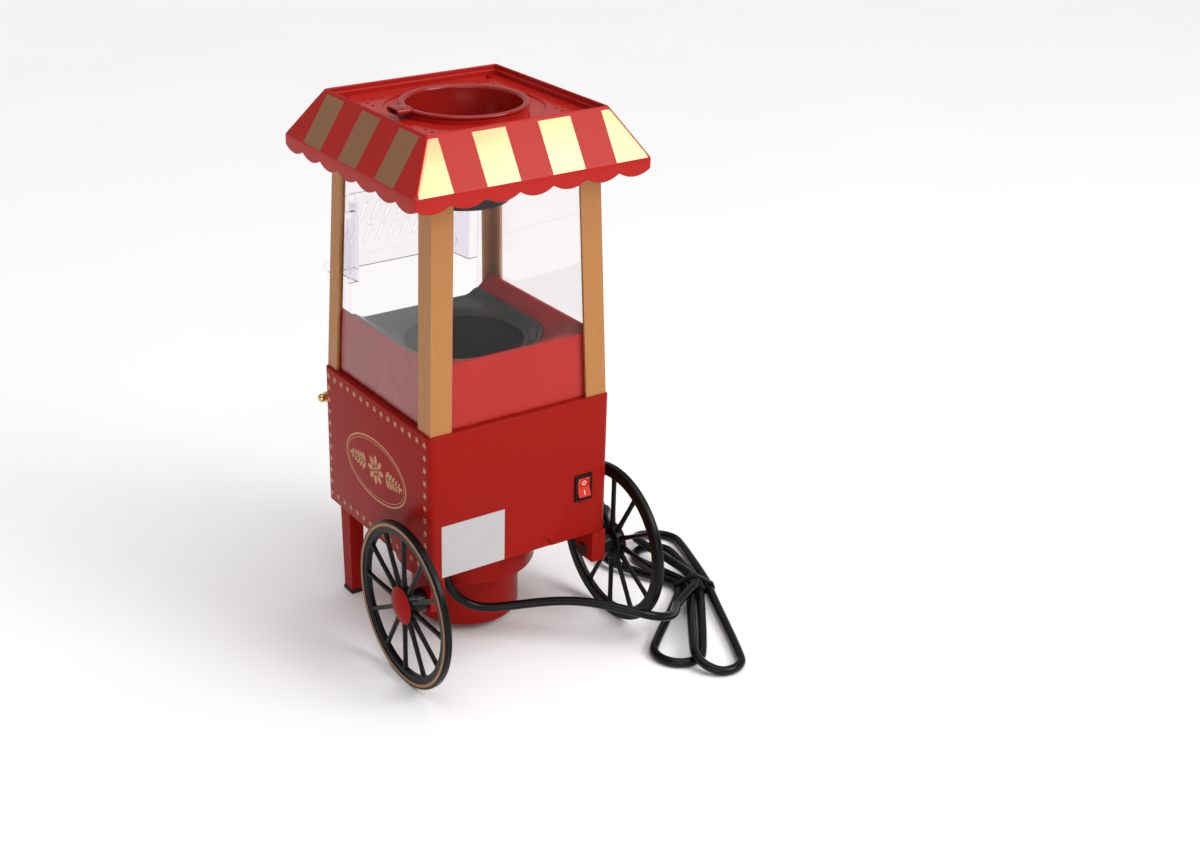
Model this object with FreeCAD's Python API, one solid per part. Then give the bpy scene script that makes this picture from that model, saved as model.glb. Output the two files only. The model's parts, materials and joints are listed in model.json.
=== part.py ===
import FreeCAD, Part
import math
import os

os.makedirs("parts", exist_ok=True)
V = FreeCAD.Vector
UP = V(0, 0, 1)
ALONG_X = V(1, 0, 0)
ALONG_Y = V(0, 1, 0)

# Millimetres. X runs across (plus is right, seen from the front), Y to the rear, Z up from the floor.
# Everything is drawn about the middle of the base box, and moved along Y as it is written out.

# Base box
BASE_WIDTH = 155.0
BASE_DEPTH = 159.4
BASE_BOTTOM = 82.8
BASE_HEIGHT = 113.8
BASE_WALL = 2.5
BASE_CORNER = 5.0
LEDGE_WIDTH = 13.5
FLOOR_THICKNESS = 2.5
BOSS_RADIUS = 4.0
BOSS_MARGIN = 8.0
BOSS_INSET = 8.0
NICHE_RADIUS = 10.0
NICHE_DEPTH = 1.2
NICHE_X = -18.0

# Clear tank, gold posts and deck
TANK_INSET = 2.3
TANK_LEAN = 0.0369
POST_WALL = 2.2
POST_LEG_REAR = 17.5
POST_LEG_FRONT = 11.0
POST_LEG_SIDE_FRONT = 14.0
POST_BLOCK = 11.0
POST_BLOCK_HEIGHT = 12.0
WINDOW_WALL = 1.8
DECK_HEIGHT = 48.6
DECK_WALL = 2.5
DECK_RIM = 3.0
DECK_CORNER = 40.0
SEAT_LEDGE = 4.0

# Chute pan and popping chamber
PAN_DROP = 13.2
PAN_HALF_WIDTH = 56.0
PAN_CORNER = 50.0
PAN_FLOOR = 2.5
PAN_LIP = 4.5
PAN_SLOPE = 4.0
MOUTH_RADIUS = 45.0
CHAMBER_WALL = 0.8
CHAMBER_DEPTH = 109.0
CHAMBER_FLANGE = 51.0
LOUVRE_COUNT = 16
LOUVRE_HEIGHT = 12.0
LOUVRE_WIDTH = 1.4
LOUVRE_SLANT = 25.0

# Air path, heater and safety cut-outs
DUCT_RADIUS = 49.0
DUCT_WALL = 1.5
DUCT_HEIGHT = 64.7
AIR_HOLE_RADIUS = 40.0
MICA_THICKNESS = 1.6
MICA_REACH = 33.0
MICA_FOOT_REACH = 47.0
MICA_FOOT_HEIGHT = 4.0
MICA_HEIGHT = 24.7
COIL_WIRE = 1.6
COIL_TURNS = 5
COIL_PITCH = 3.3
THERMOSTAT_RADIUS = 8.0
THERMOSTAT_HEIGHT = 8.0
THERMOSTAT_FLANGE_RADIUS = 11.2
THERMOSTAT_FLANGE = 1.2
FUSE_RADIUS = 2.0
FUSE_LENGTH = 10.0
FUSE_OFFSET = 20.0

# Motor housing, motor and fan
HOUSING_RADIUS = 42.0
HOUSING_TIER_RADIUS = 54.5
HOUSING_FLANGE = 5.0
HOUSING_WALL = 2.2
HOUSING_BOTTOM = 5.0
HOUSING_SHOULDER = 42.0
HOUSING_TAPER = 8.0
HOUSING_EDGE = 2.5
HOUSING_SCREWS = 3
GRILLE_MARGIN = 3.8
GRILLE_THICKNESS = 2.0
GRILLE_SLOTS = 9
GRILLE_SLOT = 3.0
MOTOR_RADIUS = 18.0
MOTOR_LENGTH = 40.0
MOTOR_BOTTOM = 16.0
MOTOR_NOSE_RADIUS = 6.0
MOTOR_NOSE = 2.0
CARRIER_THICKNESS = 2.5
CARRIER_RADIUS = 24.0
CARRIER_COLUMN = 3.0
CARRIER_ARM = 7.0
SHAFT_RADIUS = 2.0
SHAFT_TAIL = 4.0
FAN_RADIUS = 37.0
FAN_HUB_RADIUS = 7.0
FAN_HEIGHT = 15.0
FAN_LIFT = 3.5
FAN_BLADES = 7
FAN_BLADE = 1.6
FAN_PITCH = 38.0
BOARD_RADIUS = 16.0
BOARD_THICKNESS = 1.6
DIODE_RADIUS = 1.4
DIODE_LENGTH = 6.0

# Running gear
WHEEL_RADIUS = 63.6
AXLE_INSET = 11.5
WHEEL_STANDOUT = 18.1
RIM_WIDTH = 5.6
RIM_DEPTH = 10.0
SPOKES = 12
SPOKE_WIDTH = 3.6
SPOKE_THICKNESS = 3.2
HUB_RADIUS = 14.0
HUB_THICKNESS = 7.0
HUB_BOSS_RADIUS = 9.0
HUB_RECESS_RADIUS = 7.5
HUB_RECESS = 4.6
AXLE_RADIUS = 3.0
AXLE_HEAD_RADIUS = 5.0
AXLE_HEAD = 2.0
CLIP_RADIUS = 6.0
CLIP_THICKNESS = 1.0
CAP_RADIUS = 14.3
CAP_HEIGHT = 4.2
CAP_WALL = 1.6
BRACKET_WIDTH = 12.0
BRACKET_DEPTH = 21.7
BRACKET_DROP = 25.5
BRACKET_SLANT = 9.0
LEG_WIDTH = 13.0
LEG_DEPTH = 15.0
LEG_INSET_X = 14.5
LEG_INSET_Y = 11.7
LEG_TAPER = 1.2
FOOT_HEIGHT = 3.0
FOOT_LIP = 0.7

# Switch, label and push handle
SWITCH_INSET = 22.5
SWITCH_HEIGHT = 42.2
BEZEL_WIDTH = 15.0
BEZEL_HEIGHT = 21.0
BEZEL_THICKNESS = 1.6
SWITCH_BODY_MARGIN = 1.1
SWITCH_BODY_DEPTH = 16.0
SWITCH_BODY_WALL = 0.9
ROCKER_PIVOT_DEPTH = 1.2
ROCKER_TILT = 8.0
ROCKER_PIN = 1.2
TERMINAL_WIDTH = 4.8
TERMINAL_LENGTH = 8.0
TERMINAL_THICKNESS = 0.8
TERMINAL_PITCH = 5.5
LABEL_WIDTH = 53.7
LABEL_HEIGHT = 41.6
LABEL_THICKNESS = 0.3
LABEL_EDGE = 9.45
LABEL_MARGIN = 0.9
HANDLE_DROP = 32.0
HANDLE_STANDOFF = 8.8
HANDLE_RADIUS = 2.8
HANDLE_END_INSET = 6.5
HANDLE_POST_INSET = 19.5
HANDLE_POST_RADIUS = 2.2
HANDLE_COLLAR_RADIUS = 4.2
HANDLE_COLLAR = 2.0
HANDLE_BALL = 3.4

# Front opening and flap
JAMB_INSET = 21.5
HEADER_Z = 332.0
FLAP_TOP_Z = 331.0
FLAP_WALL = 1.8
FLAP_CHEEK_INSET = 27.5
FLAP_FRONT = 110.0
FLAP_KNEE_Z = 270.0
FLAP_BOTTOM_Z = 258.0
FLAP_REAR_DROP = 2.5
FLAP_LIP_INSET = 17.5
FLAP_LIP_HEIGHT = 9.6
FLAP_LIP_STAND = 0.8
FLAP_FLANGE = 7.0
FLAP_SLOTS = 8
FLAP_SLOT_EDGE = 11.5
FLAP_SLOT_WIDTH = 3.6
FLAP_SLOT_LENGTH = 22.0
FLAP_SLOT_GAP = 6.0
FLAP_PIN_RADIUS = 1.5
FLAP_PIN_DROP = 10.0
FLAP_PIN_OUT = 3.0
EAR_GAP = 1.2
EAR_THICKNESS = 3.0
EAR_RADIUS = 3.2

# Roof
ROOF_EAVE_Z = 377.6
ROOF_HEIGHT = 35.1
ROOF_EAVE_HALF = 95.0
ROOF_TOP_HALF = 73.0
ROOF_WALL = 3.0
SCALLOPS = 7
SCALLOP_HIGH = 7.2
SCALLOP_LOW = 11.6
VALANCE_WALL = 2.2
TRAY_DEPTH = 7.2
TRAY_THICKNESS = 2.0
COLLAR_RADIUS = 46.0
COLLAR_WALL = 2.2
COLLAR_HEIGHT = 2.6
DISH_WIDTH = 12.0
DISH_DEPTH = 0.8
VENT_RADIUS = 1.5
VENT_PITCH = 8.0
BOWL_BOTTOM_RADIUS = 33.0
BOWL_BOTTOM_Z = 339.0
BOWL_WALL = 2.0
BOWL_HOLE_RADIUS = 24.0
CUP_RIM_RADIUS = 47.0
CUP_RIM_HEIGHT = 2.4
CUP_WALL = 1.8
CUP_DEPTH = 46.0
CUP_BOTTOM_RADIUS = 33.0
CUP_TAB_REACH = 58.0
CUP_TAB_WIDTH = 16.0
CUP_TAB_HEIGHT = 4.4

# Mains lead
CORD_DIAMETER = 7.0
GLAND_RADIUS = 6.0
GLAND_GAP = 0.8
GLAND_TIP_RADIUS = 4.4
GLAND_LENGTH = 24.0
POCKET_RADIUS = 9.0
POCKET_DEPTH = 15.2
POCKET_WALL = 2.0
HANK_X = -167.0
HANK_Y = 81.0
HANK_TURN = 60.0
STRAND_PITCH = 8.0
STRAND_LIFT = 6.9
WAIST_LIFT = 1.8
LEAD_REST = 0.1
TIE_WIDTH = 7.0
TIE_THICKNESS = 1.3
TIE_CLEARANCE = 0.4
PLUG_TAIL = 22.0
PLUG_TAIL_RADIUS = 5.2
PLUG_WIDTH = 35.0
PLUG_THICKNESS = 17.0
PLUG_LENGTH = 38.0
PIN_RADIUS = 2.4
PIN_LENGTH = 19.0
PIN_SPACING = 19.0

# Fits and screws
FIT = 0.3
RUNNING_FIT = 0.05
SCREW_RADIUS = 1.5
SCREW_HEAD_RADIUS = 2.4
SCREW_HEAD = 1.6
FLOOR_SCREW_LENGTH = 12.0
LEG_SCREW_LENGTH = 14.0
THROUGH = 1.0

# Worked out from the sizes above
HALF_X = BASE_WIDTH / 2
HALF_Y = BASE_DEPTH / 2
BASE_TOP = BASE_BOTTOM + BASE_HEIGHT
FLOOR_TOP = BASE_BOTTOM + FLOOR_THICKNESS
DECK_TOP = BASE_TOP + DECK_HEIGHT
PAN_TOP = DECK_TOP - PAN_DROP
PAN_SEAT = PAN_TOP - PAN_FLOOR
PAN_EDGE = PAN_TOP + PAN_LIP
CHAMBER_BOTTOM = PAN_SEAT - CHAMBER_DEPTH
CHAMBER_RADIUS = MOUTH_RADIUS + CHAMBER_WALL
BOSS_X = HALF_X - BOSS_INSET
BOSS_Y = HALF_Y - BRACKET_DEPTH - BOSS_MARGIN
HOUSING_FLANGE_RADIUS = HOUSING_TIER_RADIUS + HOUSING_FLANGE
GRILLE_RADIUS = HOUSING_RADIUS - HOUSING_WALL - GRILLE_MARGIN
WHEEL_Y = HALF_Y - AXLE_INSET
WHEEL_OUTER_X = HALF_X + WHEEL_STANDOUT
WHEEL_INNER_X = WHEEL_OUTER_X - RIM_WIDTH
LEG_X = HALF_X - LEG_INSET_X
LEG_Y = LEG_INSET_Y - HALF_Y
SWITCH_X = SWITCH_INSET - HALF_X
SWITCH_Z = BASE_BOTTOM + SWITCH_HEIGHT
LABEL_X = HALF_X - LABEL_EDGE - LABEL_WIDTH / 2
HANDLE_Z = BASE_TOP - HANDLE_DROP
HANDLE_HALF_LENGTH = HALF_X - HANDLE_END_INSET
HANDLE_POST_X = HALF_X - HANDLE_POST_INSET
JAMB_X = HALF_X - JAMB_INSET
FLAP_CHEEK_X = HALF_X - FLAP_CHEEK_INSET
FLAP_LIP_X = HALF_X - FLAP_LIP_INSET
FLAP_SLOT_PITCH = 2 * (FLAP_CHEEK_X - FLAP_SLOT_EDGE) / (FLAP_SLOTS - 1)
GLAND_REACH = DUCT_RADIUS + DUCT_WALL + GLAND_GAP + POCKET_WALL + POCKET_RADIUS
GLAND_X = GLAND_REACH * math.sqrt(0.5)
GLAND_Y = GLAND_X
ROOF_TOP_Z = ROOF_EAVE_Z + ROOF_HEIGHT
TRAY_TOP = ROOF_TOP_Z - TRAY_DEPTH
TRAY_BOTTOM = TRAY_TOP - TRAY_THICKNESS
WINDOW_TOP = TRAY_BOTTOM - POST_BLOCK_HEIGHT - FIT
MOTOR_TOP = MOTOR_BOTTOM + MOTOR_LENGTH
FAN_BOTTOM = MOTOR_TOP + CARRIER_THICKNESS + FAN_LIFT
CUP_SEAT = TRAY_TOP + COLLAR_HEIGHT + FIT
FRONT_REACH = FLAP_FRONT + FLAP_LIP_STAND
REAR_REACH = WHEEL_Y + WHEEL_RADIUS
BODY_Y = (FRONT_REACH - REAR_REACH) / 2


def tank_x(z):
    return HALF_X - TANK_INSET - TANK_LEAN * (z - BASE_TOP)


def tank_y(z):
    return HALF_Y - TANK_INSET - TANK_LEAN * (z - BASE_TOP)


# Building helpers

def box(x0, x1, y0, y1, z0, z1):
    return Part.makeBox(x1 - x0, y1 - y0, z1 - z0, V(x0, y0, z0))


def rod(radius, start, end):
    axis = end - start
    return Part.makeCylinder(radius, axis.Length, start, axis)


def upright(radius, z0, z1, x=0.0, y=0.0):
    return rod(radius, V(x, y, z0), V(x, y, z1))


def ring(outer, inner, z0, z1, x=0.0, y=0.0):
    return upright(outer, z0, z1, x, y).cut(upright(inner, z0 - THROUGH, z1 + THROUGH, x, y))


def polygon(points):
    return Part.makePolygon(points + [points[0]])


def turned(profile):
    points = [V(radius, 0, z) for radius, z in profile]
    return Part.Face(polygon(points)).revolve(V(0, 0, 0), UP, 360)


def joined(shapes):
    return shapes[0].multiFuse(shapes[1:]).removeSplitter()


def mirrored(shape):
    return shape.mirror(V(0, 0, 0), ALONG_X)


def loft(wires):
    return Part.makeLoft(wires, True, True)


def rectangle(half_x, half_y, z):
    corners = [(-half_x, -half_y), (half_x, -half_y), (half_x, half_y), (-half_x, half_y)]
    return polygon([V(x, y, z) for x, y in corners])


def rounded_prism(half_x, half_y, radius, z0, z1):
    block = box(-half_x, half_x, -half_y, half_y, z0, z1)
    uprights = [edge for edge in block.Edges if abs(edge.tangentAt(edge.FirstParameter).z) > 0.9]
    return block.makeFillet(radius, uprights)


def tapered_wall(low, high, z0, z1):
    corners = []
    for (x0, x1, y0, y1), z in ((low, z0), (high, z1)):
        corners.append(polygon([V(x0, y0, z), V(x1, y0, z), V(x1, y1, z), V(x0, y1, z)]))
    return loft(corners)


def slab_in_yz(points, x0, x1):
    face = Part.Face(polygon([V(x0, y, z) for y, z in points]))
    return face.extrude(V(x1 - x0, 0, 0))


def horseshoe(half_width, rear, corner, front, z):
    # Outline open to the front on the object, closed here by a straight front edge.
    diagonal = corner * (1 - math.sqrt(0.5))
    left_low = V(-half_width, rear - corner, z)
    left_mid = V(-half_width + diagonal, rear - diagonal, z)
    left_top = V(-half_width + corner, rear, z)
    right_top = V(half_width - corner, rear, z)
    right_mid = V(half_width - diagonal, rear - diagonal, z)
    right_low = V(half_width, rear - corner, z)
    edges = [
        Part.LineSegment(V(-half_width, front, z), left_low).toShape(),
        Part.Arc(left_low, left_mid, left_top).toShape(),
        Part.LineSegment(left_top, right_top).toShape(),
        Part.Arc(right_top, right_mid, right_low).toShape(),
        Part.LineSegment(right_low, V(half_width, front, z)).toShape(),
        Part.LineSegment(V(half_width, front, z), V(-half_width, front, z)).toShape(),
    ]
    return Part.Wire(edges)


def horseshoe_prism(half_width, corner, front, z0, z1):
    outline = horseshoe(half_width, half_width, corner, front, z0)
    return Part.Face(outline).extrude(V(0, 0, z1 - z0))


def screw(tip, head_side, length):
    # The head's flat side lies on head_side; the shank runs from there to the tip.
    direction = (tip - head_side).normalize()
    head = rod(SCREW_HEAD_RADIUS, head_side - direction * SCREW_HEAD, head_side)
    shank = rod(SCREW_RADIUS, head_side, head_side + direction * length)
    return head.fuse(shank).removeSplitter()


def screw_hole(x, y, z0, z1):
    return upright(SCREW_RADIUS + RUNNING_FIT, z0, z1, x, y)


def around(count, radius, start=0.0):
    places = []
    for index in range(count):
        angle = math.radians(start + 360.0 * index / count)
        places.append((radius * math.cos(angle), radius * math.sin(angle)))
    return places


def four_corners(x, y):
    return [(x, y), (-x, y), (x, -y), (-x, -y)]


def write(name, shape):
    placed = shape.copy()
    placed.translate(V(0, BODY_Y, 0))
    placed.exportStep("parts/%s.step" % name)


# Curves made of arcs

def arc_between(start, corner, end):
    # Arc that leaves start and reaches end along the two lines to their common corner.
    middle = (start + end) * 0.5
    half_chord = (end - start).Length / 2
    rise = (corner - middle).Length
    if rise < 1e-6:
        return Part.LineSegment(start, end).toShape(), None
    half_turn = math.acos(min(1.0, half_chord / (corner - start).Length))
    top = middle + (corner - middle) * (half_chord * math.tan(half_turn / 2) / rise)
    return Part.Arc(start, top, end).toShape(), half_chord / math.sin(half_turn)


def biarc(start, start_way, end, end_way):
    span = end - start
    ways = start_way + end_way
    bend = 2 - 2 * start_way.dot(end_way)
    along = span.dot(ways)
    if bend < 1e-9:
        reach = span.dot(span) / (2 * along)
    else:
        reach = (math.sqrt(along * along + bend * span.dot(span)) - along) / bend
    first = start + start_way * reach
    second = end - end_way * reach
    middle = (first + second) * 0.5
    return [arc_between(start, first, middle), arc_between(middle, second, end)]


def smooth_path(stations):
    edges = []
    radii = []
    for (start, start_way), (end, end_way) in zip(stations, stations[1:]):
        for edge, radius in biarc(start, start_way, end, end_way):
            edges.append(edge)
            radii.append(radius)
    return edges, [radius for radius in radii if radius]


def rounded_route(points):
    # Straight runs joined by the largest tangent arcs that the runs allow.
    edges = []
    radii = []
    last = points[0]
    for before, corner, after in zip(points, points[1:], points[2:]):
        back = before - corner
        ahead = after - corner
        half_turn = (math.pi - back.getAngle(ahead)) / 2
        cut = 0.45 * min(back.Length, ahead.Length)
        start = corner + back.normalize() * cut
        end = corner + ahead.normalize() * cut
        edges.append(Part.LineSegment(last, start).toShape())
        edges.append(arc_between(start, corner, end)[0])
        radii.append(cut / math.tan(half_turn))
        last = end
    edges.append(Part.LineSegment(last, points[-1]).toShape())
    return edges, radii


def round_tube(edges, radius):
    path = Part.Wire(edges)
    start = edges[0].valueAt(edges[0].FirstParameter)
    way = edges[0].tangentAt(edges[0].FirstParameter)
    section = Part.Wire([Part.makeCircle(radius, start, way)])
    shell = Part.BRepOffsetAPI.MakePipeShell(path)
    shell.add(section)
    shell.build()
    shell.makeSolid()
    return shell.shape(), path.Length


def least_self_gap(edges, diameter, step, apart):
    points = []
    run = 0.0
    for edge in edges:
        count = max(2, int(edge.Length / step))
        for index in range(count):
            share = index / count
            first = edge.FirstParameter
            last = edge.LastParameter
            points.append((run + edge.Length * share, edge.valueAt(first + (last - first) * share)))
        run += edge.Length
    least = 1e9
    for index, (near_run, near) in enumerate(points):
        for far_run, far in points[index + 1:]:
            if far_run - near_run > apart:
                least = min(least, near.distanceToPoint(far))
    return least - diameter


# Base

def make_base_shell():
    shell = rounded_prism(HALF_X, HALF_Y, BASE_CORNER, BASE_BOTTOM, BASE_TOP)
    inner_corner = BASE_CORNER - BASE_WALL
    hollow = rounded_prism(HALF_X - BASE_WALL, HALF_Y - BASE_WALL, inner_corner,
                           BASE_BOTTOM - THROUGH, BASE_TOP - BASE_WALL)
    window = rounded_prism(HALF_X - LEDGE_WIDTH, HALF_Y - LEDGE_WIDTH, BASE_CORNER,
                           BASE_TOP - BASE_WALL - THROUGH, BASE_TOP + THROUGH)
    shell = shell.cut(hollow).cut(window)
    bosses = []
    for x, y in four_corners(BOSS_X, BOSS_Y):
        boss = upright(BOSS_RADIUS, FLOOR_TOP, BASE_TOP - BASE_WALL, x, y)
        bosses.append(boss.cut(screw_hole(x, y, FLOOR_TOP - THROUGH, BASE_TOP - BASE_WALL - THROUGH)))
    half_width = BEZEL_WIDTH / 2 - SWITCH_BODY_MARGIN + FIT
    half_height = BEZEL_HEIGHT / 2 - SWITCH_BODY_MARGIN + FIT
    cutout = box(SWITCH_X - half_width, SWITCH_X + half_width, HALF_Y - BASE_WALL - THROUGH, HALF_Y + THROUGH,
                 SWITCH_Z - half_height, SWITCH_Z + half_height)
    niche = rod(NICHE_RADIUS, V(NICHE_X, HALF_Y - NICHE_DEPTH, BASE_BOTTOM),
                V(NICHE_X, HALF_Y + THROUGH, BASE_BOTTOM))
    return joined([shell.cut(cutout).cut(niche)] + bosses)


def make_base_floor():
    edge = BASE_WALL + FIT
    plate = rounded_prism(HALF_X - edge, HALF_Y - edge, BASE_CORNER - BASE_WALL, BASE_BOTTOM, FLOOR_TOP)
    pocket = upright(POCKET_RADIUS + POCKET_WALL, BASE_BOTTOM, BASE_BOTTOM + POCKET_DEPTH + POCKET_WALL,
                     GLAND_X, GLAND_Y)
    plate = plate.fuse(pocket)
    plate = plate.cut(upright(AIR_HOLE_RADIUS, BASE_BOTTOM - THROUGH, FLOOR_TOP + THROUGH))
    pocket_top = BASE_BOTTOM + POCKET_DEPTH
    plate = plate.cut(upright(POCKET_RADIUS, BASE_BOTTOM - THROUGH, pocket_top, GLAND_X, GLAND_Y))
    holes = four_corners(BOSS_X, BOSS_Y) + around(HOUSING_SCREWS, housing_screw_radius(), 90.0)
    for x, y in holes + bracket_screw_places() + leg_screw_places():
        plate = plate.cut(screw_hole(x, y, BASE_BOTTOM - THROUGH, FLOOR_TOP + THROUGH))
    return plate.removeSplitter()


def housing_screw_radius():
    return (HOUSING_TIER_RADIUS + HOUSING_FLANGE_RADIUS) / 2


def bracket_screw_places():
    x = HALF_X - BASE_WALL - BRACKET_WIDTH / 2
    front_y = HALF_Y - BRACKET_DEPTH + 2 * SCREW_HEAD_RADIUS
    return [(side * x, y) for side in (1, -1) for y in (front_y, HALF_Y - BASE_WALL - 2 * SCREW_HEAD_RADIUS)]


def leg_screw_places():
    return [(side * LEG_X, LEG_Y) for side in (1, -1)]


def make_screws():
    floor_screws = []
    for x, y in four_corners(BOSS_X, BOSS_Y):
        floor_screws.append(screw(V(x, y, FLOOR_TOP), V(x, y, BASE_BOTTOM), FLOOR_SCREW_LENGTH))
    housing_screws = []
    under_flange = BASE_BOTTOM - FLOOR_THICKNESS
    for x, y in around(HOUSING_SCREWS, housing_screw_radius(), 90.0):
        housing_screws.append(screw(V(x, y, FLOOR_TOP), V(x, y, under_flange), 2 * FLOOR_THICKNESS))
    bracket_screws = []
    for x, y in bracket_screw_places():
        bracket_screws.append(screw(V(x, y, BASE_BOTTOM), V(x, y, FLOOR_TOP), FLOOR_SCREW_LENGTH))
    leg_screws = []
    for x, y in leg_screw_places():
        leg_screws.append(screw(V(x, y, BASE_BOTTOM), V(x, y, FLOOR_TOP), LEG_SCREW_LENGTH))
    roof_screws = []
    for x, y in roof_screw_places():
        roof_screws.append(screw(V(x, y, TRAY_BOTTOM), V(x, y, TRAY_TOP), POST_BLOCK_HEIGHT))
    groups = {"floor_screws": floor_screws, "housing_screws": housing_screws,
              "bracket_screws": bracket_screws, "leg_screws": leg_screws, "roof_screws": roof_screws}
    for name, screws in groups.items():
        write(name, Part.makeCompound(screws))


# Deck, pan and chamber

def deck_half(z):
    gap = POST_WALL + WINDOW_WALL + FIT
    return tank_x(z) - gap, tank_y(z) - gap


def deck_dish(offset, front):
    # Space above the sloping deck, sunk and widened by the offset.
    half_x, half_y = deck_half(DECK_TOP)
    recess = PAN_HALF_WIDTH + FIT + offset
    rim_x = half_x - DECK_RIM + offset
    rim_y = half_y - DECK_RIM + offset
    low = horseshoe(recess, recess, PAN_CORNER, front, PAN_EDGE - offset)
    high = horseshoe(rim_x, rim_y, DECK_CORNER, front, DECK_TOP - offset)
    above = horseshoe(rim_x, rim_y, DECK_CORNER, front, DECK_TOP + THROUGH)
    return loft([low, high, above])


def make_deck_shell():
    low_x, low_y = deck_half(BASE_TOP)
    high_x, high_y = deck_half(DECK_TOP)
    front = -low_y - THROUGH
    block = loft([rectangle(low_x, low_y, BASE_TOP), rectangle(high_x, high_y, DECK_TOP)])
    inner_top = DECK_TOP - DECK_WALL
    inner_x, inner_y = deck_half(inner_top)
    inside = loft([rectangle(low_x - DECK_WALL, low_y - DECK_WALL, BASE_TOP - THROUGH),
                   rectangle(inner_x - DECK_WALL, inner_y - DECK_WALL, inner_top)])
    backing_half = PAN_HALF_WIDTH + FIT + DECK_WALL
    backing = horseshoe_prism(backing_half, PAN_CORNER, front, PAN_SEAT - DECK_WALL, PAN_EDGE)
    inside = inside.cut(deck_dish(DECK_WALL, front)).cut(backing)
    recess = horseshoe_prism(PAN_HALF_WIDTH + FIT, PAN_CORNER, front, PAN_SEAT, PAN_EDGE + THROUGH)
    deck = block.cut(deck_dish(0.0, front)).cut(recess).cut(inside)
    return deck.cut(upright(PAN_HALF_WIDTH - SEAT_LEDGE, BASE_TOP, PAN_SEAT + THROUGH)).removeSplitter()


def make_chute_pan():
    front = -deck_half(PAN_EDGE)[1]
    pan = horseshoe_prism(PAN_HALF_WIDTH, PAN_CORNER, front, PAN_SEAT, PAN_EDGE)
    floor_half = PAN_HALF_WIDTH - PAN_LIP / 2 - PAN_SLOPE
    edge_half = PAN_HALF_WIDTH - PAN_LIP / 2
    floor = horseshoe(floor_half, floor_half, PAN_CORNER - PAN_SLOPE, front - THROUGH, PAN_TOP)
    edge = horseshoe(edge_half, edge_half, PAN_CORNER, front - THROUGH, PAN_EDGE + FIT)
    pan = pan.cut(loft([floor, edge]))
    return pan.cut(upright(MOUTH_RADIUS, PAN_SEAT - THROUGH, PAN_EDGE)).removeSplitter()


def make_popping_chamber():
    flange_bottom = PAN_SEAT - 1.5 * CHAMBER_WALL
    chamber = turned([(0, CHAMBER_BOTTOM), (CHAMBER_RADIUS, CHAMBER_BOTTOM), (CHAMBER_RADIUS, flange_bottom),
                      (CHAMBER_FLANGE, flange_bottom), (CHAMBER_FLANGE, PAN_SEAT), (MOUTH_RADIUS, PAN_SEAT),
                      (MOUTH_RADIUS, CHAMBER_BOTTOM + CHAMBER_WALL), (0, CHAMBER_BOTTOM + CHAMBER_WALL)])
    slot_z = CHAMBER_BOTTOM + LOUVRE_HEIGHT
    for index in range(LOUVRE_COUNT):
        slot = box(MOUTH_RADIUS - THROUGH, CHAMBER_RADIUS + THROUGH, -LOUVRE_WIDTH / 2, LOUVRE_WIDTH / 2,
                   -LOUVRE_HEIGHT / 2, LOUVRE_HEIGHT / 2)
        slot.rotate(V(0, 0, 0), ALONG_X, LOUVRE_SLANT)
        slot.translate(V(0, 0, slot_z))
        slot.rotate(V(0, 0, 0), UP, 360.0 * index / LOUVRE_COUNT)
        chamber = chamber.cut(slot)
    return chamber


# Air path and heater

def make_air_duct():
    top = FLOOR_TOP + DUCT_HEIGHT
    tube = ring(DUCT_RADIUS + DUCT_WALL, DUCT_RADIUS, FLOOR_TOP, top)
    lid = ring(DUCT_RADIUS + DUCT_WALL / 2, CHAMBER_RADIUS + FIT, top - DUCT_WALL, top)
    return joined([tube, lid])


def make_heater_frame():
    plates = []
    for turn in (0.0, 90.0):
        foot = box(-MICA_FOOT_REACH, MICA_FOOT_REACH, -MICA_THICKNESS / 2, MICA_THICKNESS / 2,
                   FLOOR_TOP, FLOOR_TOP + MICA_FOOT_HEIGHT)
        blade = box(-MICA_REACH, MICA_REACH, -MICA_THICKNESS / 2, MICA_THICKNESS / 2,
                    FLOOR_TOP, FLOOR_TOP + MICA_HEIGHT)
        plate = foot.fuse(blade)
        plate.rotate(V(0, 0, 0), UP, turn)
        plates.append(plate)
    return joined(plates)


def make_heater_coil():
    radius = MICA_REACH + COIL_WIRE / 2 + RUNNING_FIT * 4
    start = FLOOR_TOP + MICA_FOOT_HEIGHT + COIL_WIRE
    rise = COIL_PITCH / (2 * math.pi * radius)
    stations = []
    for quarter in range(4 * COIL_TURNS + 1):
        angle = math.radians(90.0 * quarter)
        place = V(radius * math.cos(angle), radius * math.sin(angle), start + COIL_PITCH * quarter / 4)
        stations.append((place, V(-math.sin(angle), math.cos(angle), rise).normalize()))
    edges, radii = smooth_path(stations)
    print("heater coil: least radius %.1f, least self-gap %.2f"
          % (min(radii), least_self_gap(edges, COIL_WIRE, 2.0, 8.0)))
    return round_tube(edges, COIL_WIRE / 2)[0]


def make_thermostat():
    can = upright(THERMOSTAT_RADIUS, CHAMBER_BOTTOM - THERMOSTAT_HEIGHT, CHAMBER_BOTTOM)
    flange = upright(THERMOSTAT_FLANGE_RADIUS, CHAMBER_BOTTOM - THERMOSTAT_FLANGE, CHAMBER_BOTTOM)
    return joined([can, flange])


def make_thermal_fuse():
    z = CHAMBER_BOTTOM - FUSE_RADIUS
    body = rod(FUSE_RADIUS, V(-FUSE_LENGTH / 2, FUSE_OFFSET, z), V(FUSE_LENGTH / 2, FUSE_OFFSET, z))
    lead = rod(FUSE_RADIUS / 4, V(-FUSE_LENGTH, FUSE_OFFSET, z), V(FUSE_LENGTH, FUSE_OFFSET, z))
    return joined([body, lead])


# Motor housing, motor and fan

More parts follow.
